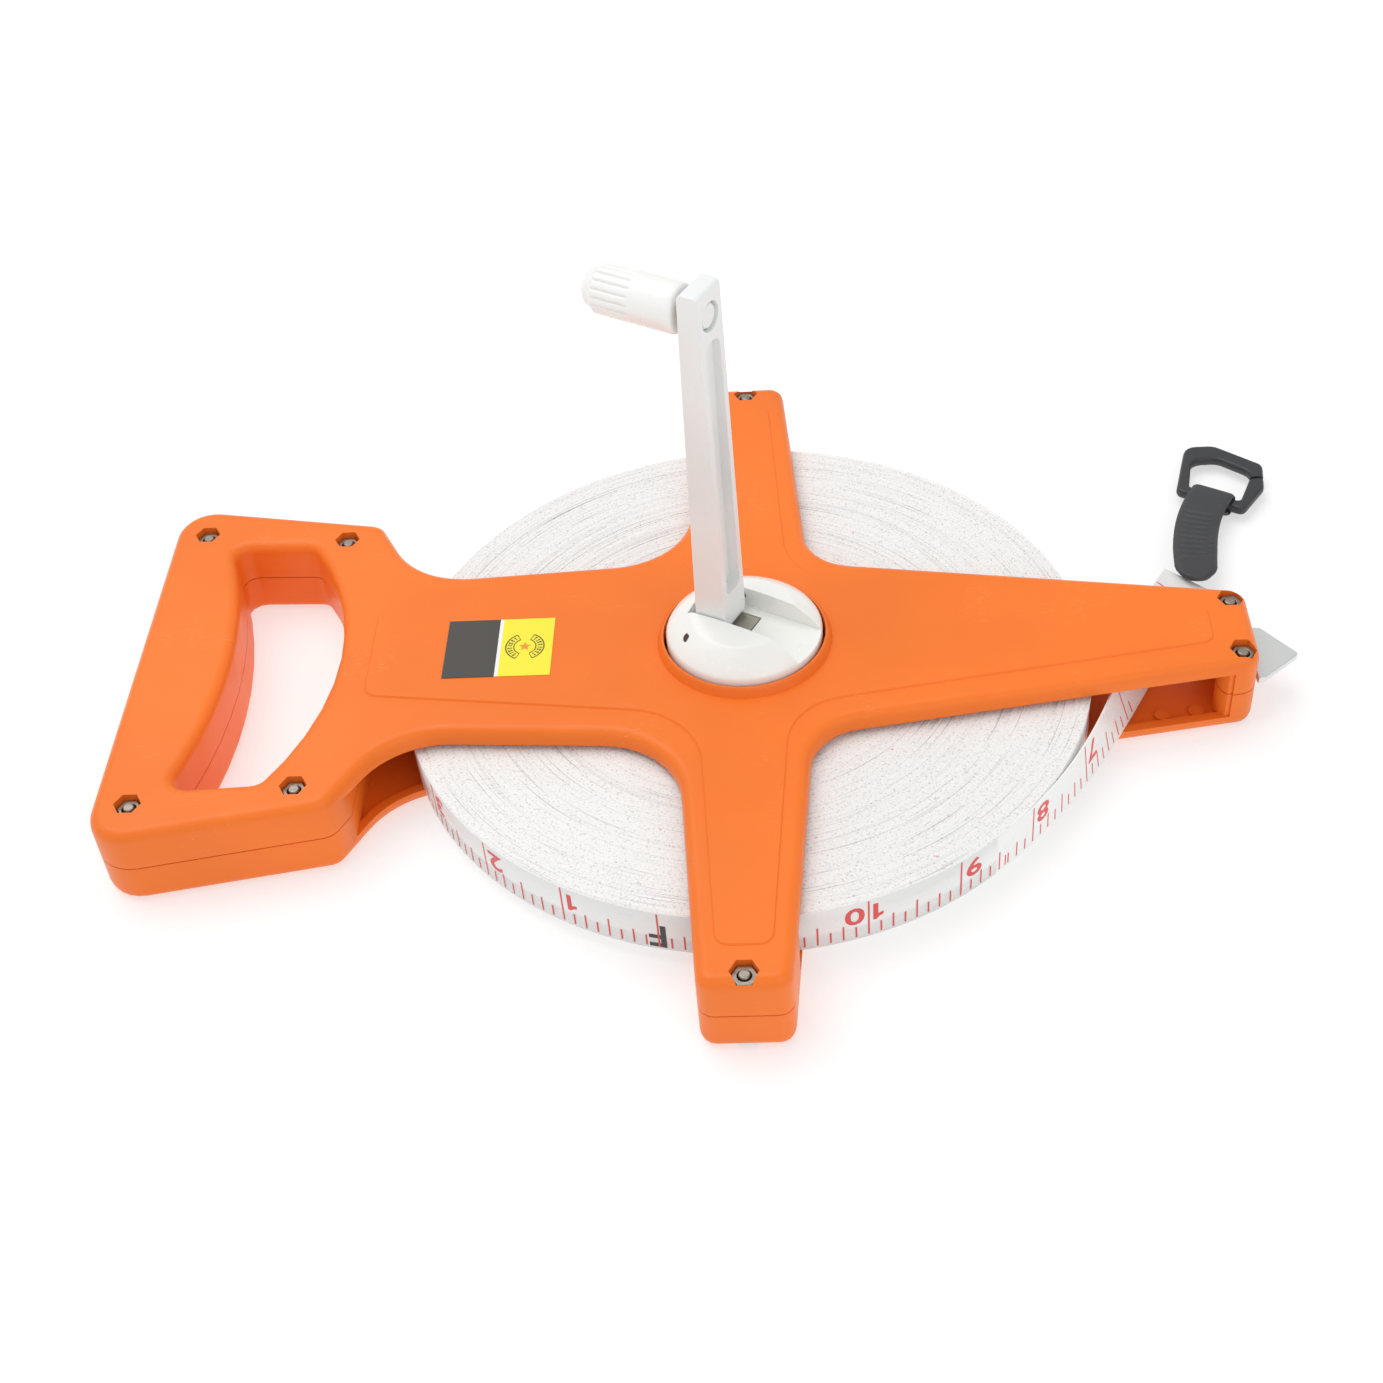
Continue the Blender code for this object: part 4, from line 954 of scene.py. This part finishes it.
# The tab on the blade's end is a flat strap of dark grey soft plastic, round where the blade enters
# it, with raised grip ribs across its face. Its far end curls round the ring's straight bar.
TAB_HALF_WIDTH = 6.2 * MM
TAB_HALF_THICKNESS, CURL_HALF_THICKNESS = 1 * MM, 0.6 * MM
CURL_REACH, CURL_LEAD = 2.8 * MM, 3 * MM
CURL_ANGLES = np.radians(np.arange(80, -171, -10))
TAB_START = np.array([125.2, 35.8, 8]) * MM
TAB_START_HEADING = math.radians(85)
TAB_PULL = 13 * MM
TAB_LENGTH = 40 * MM
TAB_STATIONS = np.concatenate(([0.02, 0.15, 0.5, 1.0, 1.8, 2.8, 4.2], np.arange(5.6, 40, 0.3), [40])) * MM
WAIST_SHARE, WAIST_LENGTH = 0.92, 14 * MM
THIN_START, THIN_LENGTH, THINNING = 0.45, 1.5 * MM, 3
RIB_PITCH, RIB_RISE, RIB_FADE = 2.4 * MM, 0.35 * MM, 0.6 * MM
RIB_FROM, RIB_TO = 8 * MM, 32 * MM
PAD_SHARE, PAD_FADE = 0.66, 0.06
CROWN_POWER, CROWN_POINTS = 8, 17
TAB_SHARP = math.radians(55)
tab_black = moulded_plastic(
    "tab_black", (0.040, 0.041, 0.046), (0.13, 0.13, 0.14), 0.5, scuffs=1.0, relief=0.08
)
ring_joint = next(joint for joint in frame["joints"] if joint["name"] == "ring_swing")
RING_PIVOT = np.array(ring_joint["pos_m"], float)
BAR = np.array(ring_joint["axis"], float)
ONWARDS = np.array([-BAR[1], BAR[0], 0])
flat_end = RING_PIVOT + CURL_REACH * UP - CURL_LEAD * ONWARDS
start_way = np.array([math.cos(TAB_START_HEADING), math.sin(TAB_START_HEADING), 0])
tab_controls = (TAB_START, TAB_START + TAB_PULL * start_way, flat_end - TAB_PULL * ONWARDS, flat_end)
# The flat part follows a cubic curve, and its width grows along a quarter circle at the round end.
strap_middle, strap_way = on_cubic(tab_controls, TAB_STATIONS / TAB_LENGTH)
strap_side = np.column_stack((strap_way[:, 1], -strap_way[:, 0], np.zeros(len(TAB_STATIONS))))
strap_side /= np.linalg.norm(strap_side, axis=1, keepdims=True)
round_end = np.sqrt(1 - (1 - ramp(TAB_STATIONS, 0, TAB_HALF_WIDTH)) ** 2)
waist = WAIST_SHARE + (1 - WAIST_SHARE) * ramp(TAB_STATIONS, 0, WAIST_LENGTH)
strap_width = TAB_HALF_WIDTH * round_end * waist
thinner = (CURL_HALF_THICKNESS - TAB_HALF_THICKNESS) * (TAB_STATIONS / TAB_LENGTH) ** THINNING
strap_half = (TAB_HALF_THICKNESS + thinner) * np.clip(THIN_START + TAB_STATIONS / THIN_LENGTH, 0, 1)
# The curled part is an arc round the bar.
curls = len(CURL_ANGLES)
curl_lean = np.cos(CURL_ANGLES)[:, None] * ONWARDS + np.sin(CURL_ANGLES)[:, None] * UP
tab_middles = np.vstack((strap_middle, RING_PIVOT + CURL_REACH * curl_lean))
tab_sides = np.vstack((strap_side, np.tile(BAR, (curls, 1))))
tab_outs = np.vstack((np.tile(UP, (len(TAB_STATIONS), 1)), curl_lean))
widths = np.append(strap_width, np.full(curls, TAB_HALF_WIDTH))
halves = np.append(strap_half, np.full(curls, CURL_HALF_THICKNESS))
from_start = np.append(TAB_STATIONS, np.full(curls, TAB_LENGTH))
ribbed = ramp(from_start, RIB_FROM, RIB_FADE) * ramp(-from_start, -RIB_TO, RIB_FADE)
ribs = RIB_RISE * ribbed * (0.5 + 0.5 * np.cos(2 * math.pi * from_start / RIB_PITCH)) ** 2
sweep = np.linspace(-1, 1, CROWN_POINTS)
crown = np.sqrt(1 - np.abs(sweep) ** CROWN_POWER)
on_pad = ramp(-np.abs(sweep), -PAD_SHARE, PAD_FADE)
upper = halves[:, None] * crown + ribs[:, None] * on_pad
lower = -halves[:, None] * crown[1:-1][::-1]
across_tab = np.concatenate((sweep, sweep[1:-1][::-1]))
tab_grid = (
    tab_middles[:, None, :] + (widths[:, None] * across_tab)[:, :, None] * tab_sides[:, None, :]
    + np.concatenate((upper, lower), axis=1)[:, :, None] * tab_outs[:, None, :]
)
tab = shell("tab", tab_grid, tube_faces(len(tab_middles), len(across_tab)))
tab.data.materials.append(tab_black)
tab.data.shade_smooth()
tab.data.set_sharp_from_angle(angle=TAB_SHARP)
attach(tab, "tape_end")
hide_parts("end_tab")

# The D ring is a harder plastic in the same dark grey, with a slit in its side for hooking it on
# a nail or a stake. Its straight bar lies in the tab's curl.
RING_EDGE = 0.2 * MM
ring_black = moulded_plastic(
    "ring_black", (0.032, 0.033, 0.037), (0.12, 0.12, 0.13), 0.42, scuffs=0.8, relief=0.05
)
finished_copy("end_ring", "d_ring", "ring", ring_black, RING_EDGE, 50)
